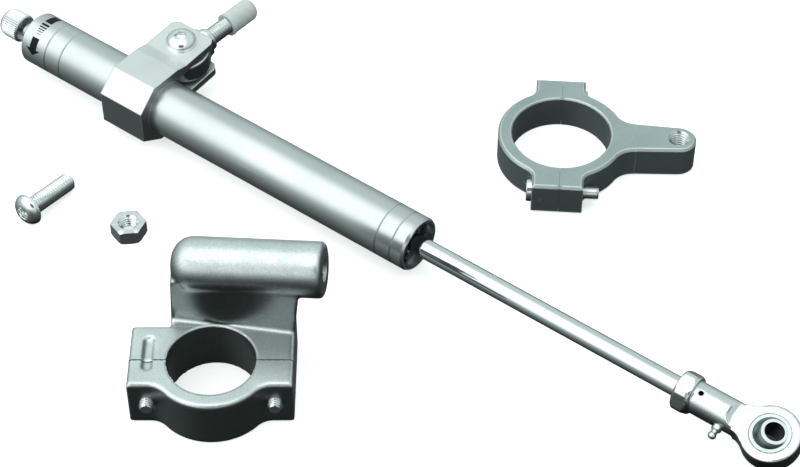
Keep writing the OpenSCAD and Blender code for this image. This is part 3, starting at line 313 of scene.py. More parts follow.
        # painted highlight: edges are brightened to a light tone where the rounded normal leaves the flat one
        flat = addNode(tree, "NewGeometry").outputs["Normal"]
        bend = addNode(tree, "VectorMath", {"operation": "DOT_PRODUCT"}, {0: normal, 1: flat})
        low, high = skinLook["edgeHighlightBand"]
        edgeShare = addNode(tree, "MapRange", {"From Min": low, "From Max": high}, {"Value": bend.outputs["Value"]})
        edgeHighlighted = addNode(tree, "Mix", {"data_type": "RGBA", 7: linearColour(recipe["edgeHighlight"])},
                         {0: edgeShare.outputs["Result"], 6: skin})
        tree.links.new(edgeHighlighted.outputs[2], shader.inputs["Base Color"])
    if recipe.get("darkBeyond"):
        # the rod's thread inside the collar is coloured near black
        along = addNode(tree, "SeparateXYZ", {}, {"Vector": place})
        inside = addNode(tree, "Math", {"operation": "GREATER_THAN", 1: recipe["darkBeyond"] * mm},
                         {0: along.outputs["X"]})
        darkened = addNode(tree, "Mix", {"data_type": "RGBA", 7: linearColour(skinLook["darkThreadTone"])},
                        {0: inside.outputs[0], 6: skin})
        tree.links.new(darkened.outputs[2], shader.inputs["Base Color"])
    if recipe.get("lines"):
        # lines that run round the axis: the noise is stretched along everything but that axis
        scale = [skinLook["alongLines"]] * 3
        scale["XYZ".index(recipe["lineAxis"])] = perMillimetre(recipe["lines"])
        stretched = addNode(tree, "Mapping", {"Scale": scale}, {"Vector": place})
        lathe = addNode(tree, "TexNoise", {"Scale": 1.0, "Detail": 2.0}, {"Vector": stretched.outputs[0]})
        links = {"Height": lathe.outputs["Fac"]}
        if normal:
            links["Normal"] = normal
        normal = addNode(tree, "Bump", {"Strength": 1.0, "Distance": recipe["lineHeight"] * mm}, links).outputs[0]
    links = {"Height": grain.outputs["Fac"]}
    if normal:
        links["Normal"] = normal
    bump = addNode(tree, "Bump", {"Strength": 1.0, "Distance": recipe["grainHeight"] * mm}, links)
    tree.links.new(bump.outputs[0], shader.inputs["Normal"])
    return material


usualSkin = {"mottle": 3, "grain": 0.3, "grainHeight": 0.003}  # mm, for recipes that say nothing else
metalRecipes = {
    # clear anodised aluminium tube, turned and polished: a satin sheen with very fine rings
    "anodisedTube": {"tones": ("#D9DEDE", "#CED4D4"), "speckle": "#FAFCFB", "mottle": 30, "grain": 0.5,
                     "grainHeight": 0.002, "roughness": (0.26, 0.33), "lines": 0.5, "lineAxis": "X",
                     "lineHeight": 0.0016},
    # fine fluted knob, clear anodised: bright and satin
    "anodisedKnob": {"tones": ("#F7FAF9", "#F1F5F4"), "speckle": "#FCFDFD", "mottle": 6, "grain": 0.4,
                     "grainHeight": 0.004, "roughness": (0.22, 0.32), "edge": 0.12},
    # plain turned aluminium of the pieces inside
    "turnedAluminium": {"tones": ("#C9D1D0", "#B6BFBE"), "speckle": "#F2F4F3", "mottle": 8, "grain": 0.4,
                        "grainHeight": 0.004, "roughness": (0.22, 0.34), "lines": 0.25, "lineAxis": "X",
                        "lineHeight": 0.003},
    # milled and tumbled clamp: smooth flats, edges a little rounded, with a painted highlight on the edges and
    # painted shade on steep faces
    "milledAluminium": {"tones": ("#F0F4F3", "#E6EBEA"), "speckle": "#F4F6F5", "mottle": 14, "grain": 0.45,
                        "grainHeight": 0.004, "roughness": (0.36, 0.44), "edge": 0.8, "edgeHighlight": "#FAFCFB",
                        "uprightShade": (0.42, 0.7)},
    # bead blasted and grey anodised fork clamp with chamfers cut bright: even, matte, cool, with a painted
    # highlight on the edges and painted shade on steep faces
    "blastedAnodised": {"tones": ("#BFCBCA", "#B1BEBD"), "speckle": "#E6EBEA", "mottle": 22, "grain": 0.35,
                        "grainHeight": 0.010, "roughness": (0.46, 0.54), "edge": 0.85, "edgeHighlight": "#F8FBFA",
                        "uprightShade": (0.72, 0.7), "split": (placing["forkAt"], placing["forkTurn"], "X")},
    # sand cast aluminium, tumbled: grainy skin with a painted highlight on the edges and painted shade on steep
    # faces
    "castAluminium": {"tones": ("#F3F8F7", "#E2E9E8"), "speckle": "#DCE4E3", "mottle": 9, "grain": 0.75,
                      "grainHeight": 0.026, "roughness": (0.27, 0.37), "edge": 1.1, "edgeHighlight": "#F4F8F7",
                      "uprightShade": (0.36, 1.0), "split": (placing["frameAt"], placing["frameTurn"], "Y")},
    # thread tapped in the aluminium clamps: bright cut metal with sharp crests
    "tappedAluminium": {"tones": ("#DDE3E2", "#CCD3D2"), "speckle": "#F2F4F3", "roughness": (0.16, 0.26)},
    # zinc plated and passivated steel fasteners: bright with a slight haze
    "zincPlated": {"tones": ("#F7FAF9", "#EAEFEE"), "speckle": "#FAFBFB", "roughness": (0.06, 0.14)},
    # forged steel rod end, nickel plated: bright, the forging's pebbled skin under the plating, with a painted
    # highlight on the edges and painted shade on steep faces
    "platedForging": {"tones": ("#F0F4F3", "#E3E8E7"), "speckle": "#ECF0EF", "mottle": 6, "grain": 0.9,
                      "grainHeight": 0.045, "roughness": (0.12, 0.22), "edge": 0.35, "edgeHighlight": "#F6F9F8",
                      "uprightShade": (0.36, 0.7)},
    # zinc plated stud and other threads, whose crests stay sharp
    "platedThread": {"tones": ("#F5F8F7", "#E6EBEA"), "speckle": "#EDF1F0", "roughness": (0.12, 0.22)},
    # ground and hard chromed rod
    "hardChrome": {"tones": ("#EDF1F1", "#E4E9E9"), "speckle": "#FBFCFC", "mottle": 20, "grainHeight": 0.0005,
                   "roughness": (0.05, 0.09)},
    # the same chrome on the rod, whose threaded end inside the collar is coloured near black
    "chromedRod": {"tones": ("#E3E8E8", "#D9DFDF"), "speckle": "#FBFCFC", "mottle": 20, "grainHeight": 0.0005,
                   "roughness": (0.05, 0.09), "darkBeyond": -40.1},
    # lapped ball of through hardened bearing steel: polished, a shade darker than chrome
    "lappedSteel": {"tones": ("#8A9493", "#7E8887"), "speckle": "#F4F6F6", "mottle": 5, "grainHeight": 0.0008,
                    "roughness": (0.07, 0.13)},
    # the same lapped steel on the rod eye's ball, its sphere toned darker as painted shade, with a painted
    # highlight on its ground end faces
    "eyeBallPaintedShadeAndHighlight": {"tones": ("#767F7E", "#6B7473"), "speckle": "#F4F6F6", "mottle": 5, "grainHeight": 0.0008,
                      "roughness": (0.07, 0.13), "flats": ((0.24795, -0.14816, 0.95738), 5.9, "#F2F5F4")},
    # swaged race ring of a softer steel
    "racedSteel": {"tones": ("#D8DFDE", "#C9D1D0"), "speckle": "#EEF2F1", "roughness": (0.18, 0.28), "edge": 0.10},
    # ground steel of the spindle and inner cylinder
    "groundSteel": {"tones": ("#B9C0C0", "#A8B0AF"), "speckle": "#F0F2F2", "mottle": 10, "grainHeight": 0.002,
                    "roughness": (0.16, 0.26), "lines": 0.2, "lineAxis": "X", "lineHeight": 0.002},
    # phosphated spring steel of the circlips
    "phosphatedSteel": {"tones": ("#5B6162", "#4A5051"), "speckle": "#DADDDC", "mottle": 2, "grain": 0.25,
                        "grainHeight": 0.004, "roughness": (0.35, 0.50), "edge": 0.10},
    # black oxide on alloy steel set screws: dark, oily shine
    "blackOxide": {"tones": ("#46494A", "#3A3D3E"), "speckle": "#D8DAD9", "roughness": (0.22, 0.36), "edge": 0.10},
    # turned brass needle
    "turnedBrass": {"tones": ("#D8B25E", "#C29B49"), "speckle": "#F2EEE4", "grainHeight": 0.002,
                    "roughness": (0.20, 0.30), "lines": 0.2, "lineAxis": "X", "lineHeight": 0.002},
    # sintered bronze bushing: porous
    "sinteredBronze": {"tones": ("#B58452", "#9C6E42"), "speckle": "#B9B3AC", "mottle": 2, "grain": 0.2,
                       "grainHeight": 0.010, "roughness": (0.40, 0.55)},
}
metals = {name: makeMetal(name, {**usualSkin, **recipe}) for name, recipe in metalRecipes.items()}


def makePlastic(name, recipe):
    # plastics, rubber, foam and ink: tone and polish both drift with the grain; sockets are set as they stand
    material = bpy.data.materials.new(name)
    material.use_nodes = True
    tree = material.node_tree
    shader = tree.nodes["Principled BSDF"]
    for socket, value in recipe["sockets"].items():
        shader.inputs[socket].default_value = value
    place = addNode(tree, "TexCoord").outputs["Object"]
    grain = addNode(tree, "TexNoise", {"Scale": perMillimetre(recipe["grain"]), "Detail": 3.0}, {"Vector": place})
    low, high = skinLook["mottleBand"]
    share = addNode(tree, "MapRange", {"From Min": low, "From Max": high}, {"Value": grain.outputs["Fac"]})
    tone = addNode(tree, "Mix",
                   {"data_type": "RGBA", 6: linearColour(recipe["tones"][0]), 7: linearColour(recipe["tones"][1])},
                   {0: share.outputs["Result"]})
    low, high = recipe["roughness"]
    polish = addNode(tree, "MapRange", {"To Min": low, "To Max": high}, {"Value": share.outputs["Result"]})
    bump = addNode(tree, "Bump", {"Strength": 1.0, "Distance": recipe["grainHeight"] * mm},
                   {"Height": grain.outputs["Fac"]})
    tree.links.new(tone.outputs[2], shader.inputs["Base Color"])
    tree.links.new(polish.outputs["Result"], shader.inputs["Roughness"])
    tree.links.new(bump.outputs[0], shader.inputs["Normal"])
    return material


plasticRecipes = {
    # soft moulded polyethylene cap: milky, waxy
    "mouldedPolythene": {"tones": ("#D8DFDD", "#CBD4D1"), "grain": 2.4, "grainHeight": 0.02,
                         "roughness": (0.38, 0.5),
                         "sockets": {"IOR": 1.5, "Subsurface Weight": 0.35, "Subsurface Scale": 0.0015}},
    # moulded nitrile rubber seals
    "nitrileRubber": {"tones": ("#232526", "#2C2E2F"), "grain": 0.5, "grainHeight": 0.008, "roughness": (0.55, 0.7),
                      "sockets": {"IOR": 1.52}},
    # filled plastic piston ring
    "filledPlastic": {"tones": ("#D6CDB8", "#C8BEA8"), "grain": 0.6, "grainHeight": 0.006, "roughness": (0.5, 0.6),
                      "sockets": {"IOR": 1.4}},
    # closed cell foam
    "cellFoam": {"tones": ("#6E7276", "#5A5E62"), "grain": 0.9, "grainHeight": 0.15, "roughness": (0.85, 0.95),
                 "sockets": {"IOR": 1.45}},
    # pad printed ink, a thin matte film
    "padPrintInk": {"tones": ("#0A1010", "#101717"), "grain": 0.4, "grainHeight": 0.003, "roughness": (0.42, 0.55),
                    "sockets": {"IOR": 1.5, "Specular IOR Level": 0.2}},
}
plastics = {name: makePlastic(name, recipe) for name, recipe in plasticRecipes.items()}
print("materials made")

# the finish of every CAD node, which its visual pieces take over
finishes = {
    "outer_tube": "anodisedTube", "inner_cylinder": "groundSteel", "valve_head": "turnedAluminium",
    "valve_head_seals": "nitrileRubber", "rear_circlip": "phosphatedSteel", "detent_ball": "hardChrome",
    "detent_spring": "phosphatedSteel", "adjuster_spindle": "groundSteel", "adjuster_knob": "anodisedKnob",
    "knob_set_screw": "blackOxide", "spindle_seal": "nitrileRubber", "metering_needle": "turnedBrass",
    "reservoir_foam": "cellFoam", "rod_guide": "turnedAluminium", "guide_bushing": "sinteredBronze",
    "rod_seal": "nitrileRubber", "wiper_seal": "nitrileRubber", "guide_seal": "nitrileRubber",
    "front_circlip": "phosphatedSteel", "piston_rod": "chromedRod", "piston": "turnedAluminium",
    "piston_ring": "filledPlastic", "piston_washer": "phosphatedSteel", "piston_nut": "zincPlated",
    "rod_eye_housing": "platedForging", "rod_eye_race": "racedSteel", "rod_eye_ball": "eyeBallPaintedShadeAndHighlight",
    "grease_nipple": "zincPlated", "tube_clamp": "milledAluminium", "clevis_screw": "zincPlated",
    "clevis_nut": "zincPlated", "frame_rod_end": "platedForging", "frame_rod_end_race": "racedSteel",
    "frame_rod_end_ball": "lappedSteel", "stud_cap": "mouldedPolythene", "fork_clamp_arm": "blastedAnodised",
    "fork_clamp_cap": "blastedAnodised", "fork_clamp_screws": "zincPlated", "frame_clamp_bracket": "castAluminium",
    "frame_clamp_cap": "castAluminium", "frame_clamp_screws": "zincPlated", "loose_screw": "zincPlated",
    "loose_nut": "zincPlated",
}
allMaterials = {**metals, **plastics}


def dress(piece, finish):
    piece.data.materials.clear()
    piece.data.materials.append(allMaterials[finish])


for nodeName, finish in finishes.items():
    dress(nodes[nodeName], finish)
nodeBody = {member: body for body, members in frame["record"]["behaviour"]["bodies"].items() for member in members}
print("CAD nodes dressed")


# turned, threaded and hexagonal shapes are rings of points: edges above sharpAngle degrees stay sharp,
# and every turn of a thread has rowsPerTurn rows
meshing = {"sharpAngle": 35, "rowsPerTurn": 8, "segments": 48, "joinWithin": 1e-7}


def meshPiece(name, points, faces, place, finish, cadNode, replace=True):
    mesh = bpy.data.meshes.new(name)
    mesh.from_pydata(points, [], faces)
    mesh.transform(place)
    mesh.update()
    piece = bpy.data.objects.new(name, mesh)
    bpy.context.scene.collection.objects.link(piece)
    return finishPiece(piece, finish, cadNode, replace)


def finishPiece(piece, finish, cadNode, replace=True):
    sharp = math.radians(meshing["sharpAngle"])
    edit = bmesh.new()
    edit.from_mesh(piece.data)
    bmesh.ops.recalc_face_normals(edit, faces=edit.faces)
    for edge in edit.edges:
        edge.smooth = not (len(edge.link_faces) == 2 and edge.calc_face_angle(0) > sharp)
    for face in edit.faces:
        face.smooth = True
    edit.to_mesh(piece.data)
    edit.free()
    dress(piece, finish)
    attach(piece, nodeBody[cadNode])
    if replace:
        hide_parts(cadNode)
    return piece


def ringSurface(rings, closedStart=False, closedEnd=False, loop=False):
    # rings are lists of the same number of points in mm; neighbours are joined by quads
    count = len(rings[0])
    points = [tuple(c * mm for c in point) for ring in rings for point in ring]
    faces = []
    last = len(rings) if loop else len(rings) - 1
    for i in range(last):
        a, b = i * count, (i + 1) % len(rings) * count
        for j in range(count):
            k = (j + 1) % count
            faces.append((a + j, a + k, b + k, b + j))
    if closedStart:
        faces.append(tuple(range(count))[::-1])
    if closedEnd:
        faces.append(tuple(range((len(rings) - 1) * count, len(rings) * count)))
    return points, faces


def ringAt(count, height, radiusAt):
    # radiusAt is a number or a function of the angle
    points = []
    for j in range(count):
        angle = 2 * math.pi * j / count
        radius = radiusAt(angle) if callable(radiusAt) else radiusAt
        points.append((radius * math.cos(angle), radius * math.sin(angle), height))
    return points


def hexRadius(flat):
    # flat is half the width across flats
    def radius(angle):
        return flat / math.cos((angle + math.pi / 6) % (math.pi / 3) - math.pi / 6)
    return radius


def threadRadius(height, root, crest, pitch):
    # an ISO shaped thread, with a flat crest of an eighth and a flat root of a quarter of the pitch
    crestFlat, rootFlat = 0.125, 0.25

    def radius(angle):
        part = (height / pitch - angle / (2 * math.pi)) % 1
        away = abs(part - 0.5) * 2
        share = min(1, max(0, (away - rootFlat) / (1 - crestFlat - rootFlat)))
        return root + (crest - root) * share
    return radius


def limited(radius, most):
    return lambda angle: min(radius(angle), most)


def atLeast(radius, least):
    return lambda angle: max(radius(angle), least)


def threadedRows(count, start, stop, root, crest, pitch, tip, tipCone):
    # rows from start to stop; the thread runs out under a cone at the stop end
    rows = max(2, int(abs(stop - start) / pitch * meshing["rowsPerTurn"]))
    rings = []
    for i in range(rows + 1):
        height = start + (stop - start) * i / rows
        most = tip + tipCone * abs(stop - height)
        rings.append(ringAt(count, height, limited(threadRadius(height, root, crest, pitch), most)))
    return rings


# crest and root are radii
screwSizes = {
    "large": {"crest": 3.99, "root": 3.32, "pitch": 1.25},
    "small": {"crest": 2.99, "root": 2.45, "pitch": 1.0},
}
# the socket's floor, walls and eased mouth, the fillet under the head, the gap before the thread, its end
screwForm = {"point": 0.01, "floorDrop": 0.3, "floorShare": 0.97, "easeDepth": 0.25, "easeWidth": 0.18,
             "proud": 0.01, "fillet": 0.25, "threadGap": 0.1, "tip": 0.25, "endFace": 0.6, "tipCone": 1.0}


def makeScrew(size, length, threadFrom, head):
    # local axes: seat at Z zero, head above, shank below; rings run from the socket's floor to the tip
    data = screwSizes[size]
    form = screwForm
    count = meshing["segments"]
    flat = head["socketFlat"]
    rings = [ringAt(count, head["socketFloor"] - flat * form["floorDrop"], form["point"]),
             ringAt(count, head["socketFloor"], hexRadius(flat * form["floorShare"])),
             ringAt(count, head["top"] - form["easeDepth"], hexRadius(flat)),
             ringAt(count, head["top"] + form["proud"], hexRadius(flat + form["easeWidth"]))]
    rings += [ringAt(count, height, radius) for radius, height in head["profile"]]
    rings += [ringAt(count, 0, data["crest"] + form["fillet"]), ringAt(count, -form["fillet"], data["crest"]),
              ringAt(count, -threadFrom, data["crest"])]
    rings += threadedRows(count, -threadFrom - form["threadGap"], -length, data["root"], data["crest"],
                          data["pitch"], data["root"] - form["tip"], form["tipCone"])
    rings.append(ringAt(count, -length - form["proud"], data["root"] - form["endFace"]))
    return ringSurface(rings, closedStart=True, closedEnd=True)


# button head: the dome stands on a rim and stops at the socket's chamfer; rim rows are inset and height
button = {"radius": 7.0, "height": 4.4, "rimHeight": 0.45, "rim": [(0.02, 0.4), (0.02, 0.12), (0.14, 0.0)],
          "domeSteps": 10, "domeFrom": 62, "domeAngle": 78, "domeShare": 0.985, "socketFlat": 2.52,
          "socketDepth": 2.4}


def buttonHead():
    dome = (button["height"] - button["rimHeight"]) / math.sin(math.radians(button["domeAngle"]))
    profile = []
    for i in range(button["domeSteps"] + 1):
        angle = math.radians(button["domeFrom"] * (1 - i / button["domeSteps"]))
        profile.append((button["radius"] * math.cos(angle) * button["domeShare"],
                        button["rimHeight"] + dome * math.sin(angle)))
    profile += [(button["radius"] - inset, height) for inset, height in button["rim"]]
    top = profile[0][1]
    return {"profile": profile, "top": top, "socketFlat": button["socketFlat"],
            "socketFloor": top - button["socketDepth"]}


# cap head: its top edge is given by inset and depth below the top, its seat edge by inset and height
cap = {"radius": 4.98, "height": 6, "socketFlat": 2.5, "socketDepth": 3,
       "topEdge": [(0.55, 0), (0.25, 0.08), (0.02, 0.4)], "seatEdge": [(0.02, 0.25), (0.2, 0.0)]}


def capHead():
    profile = [(cap["radius"] - inset, cap["height"] - depth) for inset, depth in cap["topEdge"]]
    profile += [(cap["radius"] - inset, height) for inset, height in cap["seatEdge"]]
    return {"profile": profile, "top": cap["height"], "socketFlat": cap["socketFlat"],
            "socketFloor": cap["height"] - cap["socketDepth"]}


# half the width across flats, height, the turned corners' chamfer and slope, the eased mouth and minor radius
# as steps from the thread's crest, and the heights of the rows near a face
looseNut = {"flat": 6.7, "height": 6.5, "chamfer": 0.75, "slope": 1.73, "mouth": 0.35, "minor": 0.62,
            "segments": 96, "rows": [0.0, 0.08, 0.2, 0.35, 0.5, 0.62, 0.75, 0.9]}


def makeNut(nut, data):
    # one closed skin: outer hexagon, turned corners, threaded hole with eased mouths
    count, height = nut["segments"], nut["height"]
    outer = hexRadius(nut["flat"])
    corner = nut["flat"] / math.cos(math.pi / 6)
    rings = []
    for z in nut["rows"] + [height / 2] + [height - row for row in reversed(nut["rows"])]:
        edge = min(z, height - z)
        rings.append(ringAt(count, z, limited(outer, corner - nut["chamfer"] + edge * nut["slope"])))
    mouth = data["crest"] + nut["mouth"]
    minor = data["crest"] - nut["minor"]
    rows = int(height / data["pitch"] * meshing["rowsPerTurn"])
    for i in range(rows + 1):
        z = height - height * i / rows
        least = mouth - min(z, height - z)
        rings.append(ringAt(count, z, atLeast(threadRadius(z, minor, data["crest"], data["pitch"]), least)))
    return ringSurface(rings, loop=True)


# the loose screw leans, with the rim of its head and the tip of its shank on the bench
looseScrew = {"shank": 4, "plain": 1.2}
drop = button["radius"] - looseScrew["shank"]
lean = math.degrees(math.asin(drop / math.hypot(placing["looseLength"], drop)))
loosePlace = (shift(*placing["looseAt"], placing["benchZ"]) @ turnZ(placing["looseTurn"])
              @ shift(0, 0, button["radius"]) @ turnY(lean) @ turnY(-90))
points, faces = makeScrew("large", placing["looseLength"], looseScrew["plain"], buttonHead())
meshPiece("looseScrew", points, faces, loosePlace, "zincPlated", "loose_screw")

nutPlace = shift(*placing["nutAt"], placing["benchZ"]) @ turnZ(placing["nutTurn"])
points, faces = makeNut(looseNut, screwSizes["large"])
meshPiece("looseNut", points, faces, nutPlace, "zincPlated", "loose_nut")

clevis = {"seat": 9.55, "length": 25.6, "plain": 14}
points, faces = makeScrew("large", clevis["length"], clevis["plain"], buttonHead())
meshPiece("clevisScrew", points, faces, pivotPlace @ shift(0, 0, clevis["seat"]), "zincPlated", "clevis_screw")

# plain is the length of shank before the thread
forkScrews = {"near": (-8, -28.5, 7.75), "nearLength": 25, "nearPlain": 12,
              "far": (5.4, 28.5, 7.75), "farLength": 16, "farPlain": 6}
frameScrews = {"across": 25, "seat": 14, "height": 11.25, "length": 30, "plain": 14}


def joinedScrews(name, rows, cadNode):
    # several screws of one CAD node become one piece
    allPoints, allFaces = [], []
    for place, length, plain in rows:
        points, faces = makeScrew("small", length, plain, capHead())
        offset = len(allPoints)
        allPoints += [tuple(place @ Vector(point)) for point in points]
        allFaces += [tuple(index + offset for index in face) for face in faces]
    return meshPiece(name, allPoints, allFaces, Matrix.Identity(4), "zincPlated", cadNode)


joinedScrews("forkScrews", [
    (forkPlace @ shift(*forkScrews["near"]) @ turnY(-90), forkScrews["nearLength"], forkScrews["nearPlain"]),
    (forkPlace @ shift(*forkScrews["far"]) @ turnY(90), forkScrews["farLength"], forkScrews["farPlain"])],
    "fork_clamp_screws")
joinedScrews("frameScrews", [
    (framePlace @ shift(side * frameScrews["across"], frameScrews["seat"], frameScrews["height"]) @ turnX(-90),
     frameScrews["length"], frameScrews["plain"]) for side in (-1, 1)], "frame_clamp_screws")
print("screws and nuts made")


def copyOf(cadNode, name):
    # a copy of a CAD node's mesh with its corners joined, to be worn round or opened for a thread
    mesh = nodes[cadNode].data.copy()
    mesh.name = name
    piece = bpy.data.objects.new(name, mesh)
    bpy.context.scene.collection.objects.link(piece)
    edit = bmesh.new()
    edit.from_mesh(mesh)
    bmesh.ops.remove_doubles(edit, verts=edit.verts, dist=meshing["joinWithin"])
    edit.to_mesh(mesh)
    edit.free()
    return piece


def fromAxis(point):
    return math.hypot(point.x, point.y)


def cutAway(piece, place, inside):
    # drops the faces whose corners all pass the test, in the local axes of place
    back = place.inverted()
    edit = bmesh.new()
    edit.from_mesh(piece.data)
    gone = [face for face in edit.faces if all(inside(back @ vert.co / mm) for vert in face.verts)]
    bmesh.ops.delete(edit, geom=gone, context="FACES")
    edit.to_mesh(piece.data)
    edit.free()


def softened(piece, voxel, share, roundsAt):
    # cast and forged pieces: an even mesh, its edges worn by roundsAt(point in mm) rounds of smoothing
    for kind, settings in (("REMESH", {"mode": "VOXEL", "voxel_size": voxel * mm}), ("DECIMATE", {"ratio": share})):
        change = piece.modifiers.new(kind, kind)
        for key, value in settings.items():
            setattr(change, key, value)
        mesh = bpy.data.meshes.new_from_object(piece.evaluated_get(bpy.context.evaluated_depsgraph_get()))
        piece.modifiers.clear()
        piece.data = mesh
        if kind == "REMESH":
            edit = bmesh.new()
            edit.from_mesh(mesh)
            rounds = {vert: roundsAt(vert.co / mm) for vert in edit.verts}
            for done in range(max(rounds.values())):
                free = [vert for vert in edit.verts if rounds[vert] > done]
                bmesh.ops.smooth_vert(edit, verts=free, factor=0.5, use_axis_x=True, use_axis_y=True,
                                      use_axis_z=True)
            edit.to_mesh(mesh)
            edit.free()


# the burnished rim round a threaded hole, and how much more than the hole is opened in the solid's mesh
holeForm = {"rimWidth": 0.25, "rimProud": 0.03, "openWide": 0.02, "openDeep": 0.05, "floorStep": 0.001}


def boreRings(count, depth, data, minor, mouth, blind):
    # from the mouth at Z zero down: a thin burnished rim, a 45 degree cone, then the thread
    rows = int(depth / data["pitch"] * meshing["rowsPerTurn"])
    rings = [ringAt(count, holeForm["rimProud"], mouth + holeForm["rimWidth"]),
             ringAt(count, holeForm["rimProud"], mouth)]
    for i in range(1, rows + 1):
        z = -depth * i / rows
        thread = threadRadius(z, minor, data["crest"], data["pitch"])
        rings.append(ringAt(count, z, atLeast(thread, mouth + z)))
    rings.append(ringAt(count, -depth - holeForm["floorStep"], minor))
    return ringSurface(rings, closedEnd=blind)


# where each hole's mouth lies, with Z out of the hole; mouth is the cone's radius, minor the thread's, in mm
threadedHoles = {
    "fork_clamp_arm": {"piece": "forkArm", "place": forkPlace @ shift(51, 0, 15.5), "depth": 15.5, "mouth": 4.8,
                       "minor": 3.4, "blind": False},
    "frame_clamp_bracket": {"piece": "frameBracket", "depth": 24, "mouth": 4.6, "minor": 3.4, "blind": True,
                            "place": framePlace @ shift(8, 28.7, 45.2) @ turnZ(-7.5) @ turnY(-4.3)
                            @ shift(36.7, 0, 0) @ turnY(90)},
}
# cast and forged pieces: voxel size in mm, share of the faces kept, rounds of smoothing on the skin
wear = {"frame_clamp_bracket": (0.5, 0.5, 9), "frame_clamp_cap": (0.5, 0.5, 9),
        "rod_eye_housing": (0.25, 0.35, 6), "frame_rod_end": (0.25, 0.35, 7)}
# the frame clamp's machined places in mm: the boss's end, the joint faces and the bore. Inside the land nothing
# is worn, inside the cut the cast mesh makes room for a true bore, whose rim rows are radius and depth
machined = {"bossRounds": 2, "bossEnd": -1.6, "split": 0.9, "land": 19.0, "cut": 18.3, "joint": 0.17,
            "height": 22.5, "steps": 96, "cutOver": 0.1, "proud": 0.03,
            "rim": [(18.5, 0.0), (18.1, 0.0), (17.85, 0.06), (17.66, 0.2), (17.54, 0.4), (17.5, 0.65)]}


def clampRounds(point):
    local = framePlace.inverted() @ (point * mm) / mm
    if abs(local.y) < machined["split"] or fromAxis(local) < machined["land"]:
        return 0
    inBoss = threadedHoles["frame_clamp_bracket"]["place"].inverted() @ (point * mm) / mm
    return machined["bossRounds"] if inBoss.z > machined["bossEnd"] else wear["frame_clamp_bracket"][2]


def machinedBore(piece, cadNode, side):
    # half of the frame clamp's bore, turned true: side is 1 for the bracket, -1 for the cap
    top, steps = machined["height"], machined["steps"]
    cutAway(piece, framePlace, lambda p: fromAxis(p) < machined["cut"] and p.z < top + machined["cutOver"])
    profile = [(radius, top + machined["proud"] - depth) for radius, depth in machined["rim"]]
    profile += [(radius, depth) for radius, depth in reversed(machined["rim"])]
    points, faces = [], []
    for radius, height in profile:
        margin = math.asin(machined["joint"] / radius)
        for i in range(steps + 1):
            angle = side * (margin + (math.pi - 2 * margin) * i / steps)
            points.append((radius * math.cos(angle) * mm, radius * math.sin(angle) * mm, height * mm))
    for row in range(len(profile) - 1):
        for i in range(steps):
            a = row * (steps + 1) + i
            b = a + steps + 1
            faces.append((a, a + 1, b + 1, b)[::side])
    meshPiece(piece.name + "Bore", points, faces, framePlace, "castAluminium", cadNode, replace=False)


for cadNode, hole in threadedHoles.items():
    piece = copyOf(cadNode, hole["piece"])
    if cadNode in wear:
        softened(piece, *wear[cadNode][:2], clampRounds)
        machinedBore(piece, cadNode, 1)
    deep, wide = hole["depth"] + holeForm["openDeep"], hole["mouth"] + holeForm["openWide"]
    cutAway(piece, hole["place"], lambda p: fromAxis(p) < wide and -deep < p.z < holeForm["openDeep"])
    finishPiece(piece, finishes[cadNode], cadNode)
    points, faces = boreRings(meshing["segments"], hole["depth"], screwSizes["large"], hole["minor"], hole["mouth"],
                              hole["blind"])
    meshPiece(hole["piece"] + "Thread", points, faces, hole["place"], "tappedAluminium", cadNode, replace=False)

# the stud is cut off the rod end's mesh at its neck, and a threaded one stands there: radii and lengths in mm
stud = {"neck": 16.6, "reach": 41.0, "cut": 4.45, "cutOver": 0.02, "collar": 4.4, "relief": 3.6, "reliefStep": 0.05,
        "threadGap": 0.1, "tip": 3.0, "tipCone": 1.0}
studEnd = copyOf("frame_rod_end", "studRodEnd")
softened(studEnd, *wear["frame_rod_end"][:2], lambda point: wear["frame_rod_end"][2])
studAxis = studPlace @ turnY(90)
cutAway(studEnd, studAxis, lambda p: fromAxis(p) < stud["cut"] and p.z > stud["neck"] - stud["cutOver"])
thread = screwSizes["large"]
rings = [ringAt(meshing["segments"], stud["neck"], stud["collar"]),
         ringAt(meshing["segments"], stud["neck"] + stud["reliefStep"], stud["relief"])]
rings += threadedRows(meshing["segments"], stud["neck"] + stud["threadGap"], stud["reach"], thread["root"],
                      thread["crest"], thread["pitch"], stud["tip"], stud["tipCone"])
finishPiece(studEnd, "platedForging", "frame_rod_end")
points, faces = ringSurface(rings, closedEnd=True)
meshPiece("studThread", points, faces, studAxis, "platedThread", "frame_rod_end", replace=False)
print("threads cut")

frameCap = copyOf("frame_clamp_cap", "frameCap")
softened(frameCap, *wear["frame_clamp_cap"][:2], clampRounds)
machinedBore(frameCap, "frame_clamp_cap", -1)
finishPiece(frameCap, "castAluminium", "frame_clamp_cap")
eyeHousing = copyOf("rod_eye_housing", "eyeHousing")
softened(eyeHousing, *wear["rod_eye_housing"][:2], lambda point: wear["rod_eye_housing"][2])
finishPiece(eyeHousing, "platedForging", "rod_eye_housing")

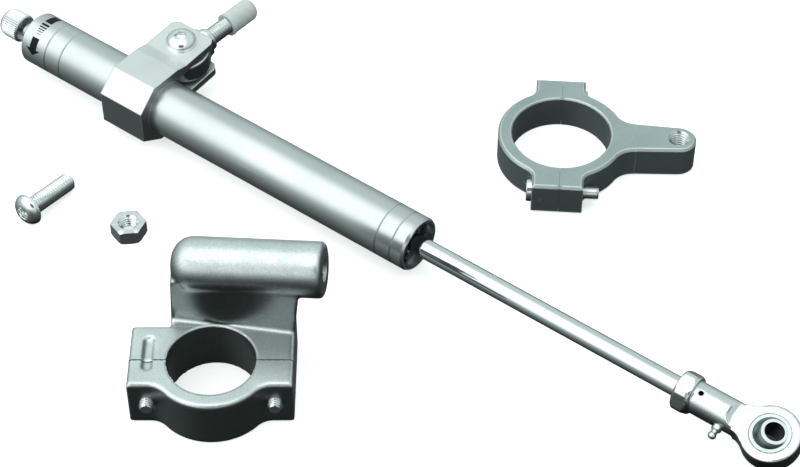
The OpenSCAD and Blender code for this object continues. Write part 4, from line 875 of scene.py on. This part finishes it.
# grease nipple, turned: radius and distance from the shank's axis
nipple = {"roll": 18, "along": -19.6,
          "profile": [(1.5, 2.5), (1.5, 6.35), (2.1, 6.35), (2.1, 7.9), (1.95, 8.1), (1.35, 8.65), (1.35, 9.65),
                      (1.52, 10.0), (1.73, 10.4), (1.74, 10.75), (1.62, 11.2), (1.36, 11.6), (1.0, 11.92),
                      (0.45, 12.03), (0.02, 12.05)]}
nipplePlace = turnX(nipple["roll"]) @ shift(nipple["along"], 0, 0) @ turnX(90)
rings = [ringAt(meshing["segments"], height, radius) for radius, height in nipple["profile"]]
points, faces = ringSurface(rings, closedStart=True, closedEnd=True)
meshPiece("greaseNipple", points, faces, nipplePlace, "zincPlated", "grease_nipple")
print("castings and forgings worn round")


# the printed adjustment scale near the rear rim, as thin ink on the tube: along is mm from the rim, angles are
# degrees from the top; bars are angle, half length and thickness, the block is its two ends and half length
printedScale = {"along": 7.8, "radius": 12.012, "step": 2.0,
                "arrow": {"tip": 83.5, "base": 68.4, "halfTip": 0.02, "halfHead": 4.1, "halfShaft": 1.95,
                          "end": 42},
                "bars": [(32.0, 1.2, 1.2), (26.5, 1.5, 1.8), (21.0, 1.75, 2.4), (14.8, 2.0, 3.4), (7.0, 2.1, 5.4)],
                "block": (-1.0, -34.0, 2.0)}


def onTube(along, degrees):
    # degrees from the top of the tube toward the front
    angle = math.radians(degrees)
    radius = printedScale["radius"]
    return ((rim + along) * mm, -radius * math.sin(angle) * mm, radius * math.cos(angle) * mm)


def printedStrip(points, faces, fromAngle, toAngle, halfAt):
    steps = max(1, int(abs(toAngle - fromAngle) / printedScale["step"]))
    first = len(points)
    for i in range(steps + 1):
        degrees = fromAngle + (toAngle - fromAngle) * i / steps
        half = halfAt(i / steps)
        points.append(onTube(printedScale["along"] - half, degrees))
        points.append(onTube(printedScale["along"] + half, degrees))
    for i in range(steps):
        a = first + 2 * i
        faces.append((a, a + 1, a + 3, a + 2))


points, faces = [], []
arrow = printedScale["arrow"]
printedStrip(points, faces, arrow["tip"], arrow["base"],
             lambda share: max(arrow["halfTip"], arrow["halfHead"] * share))
printedStrip(points, faces, arrow["base"], arrow["end"], lambda share: arrow["halfShaft"])
for centre, half, thick in printedScale["bars"]:
    printedStrip(points, faces, centre + thick / 2, centre - thick / 2, lambda share: half)
start, stop, half = printedScale["block"]
printedStrip(points, faces, start, stop, lambda share: half)
meshPiece("printedScale", points, faces, Matrix.Identity(4), "padPrintInk", "outer_tube", replace=False)
print("scale printed")
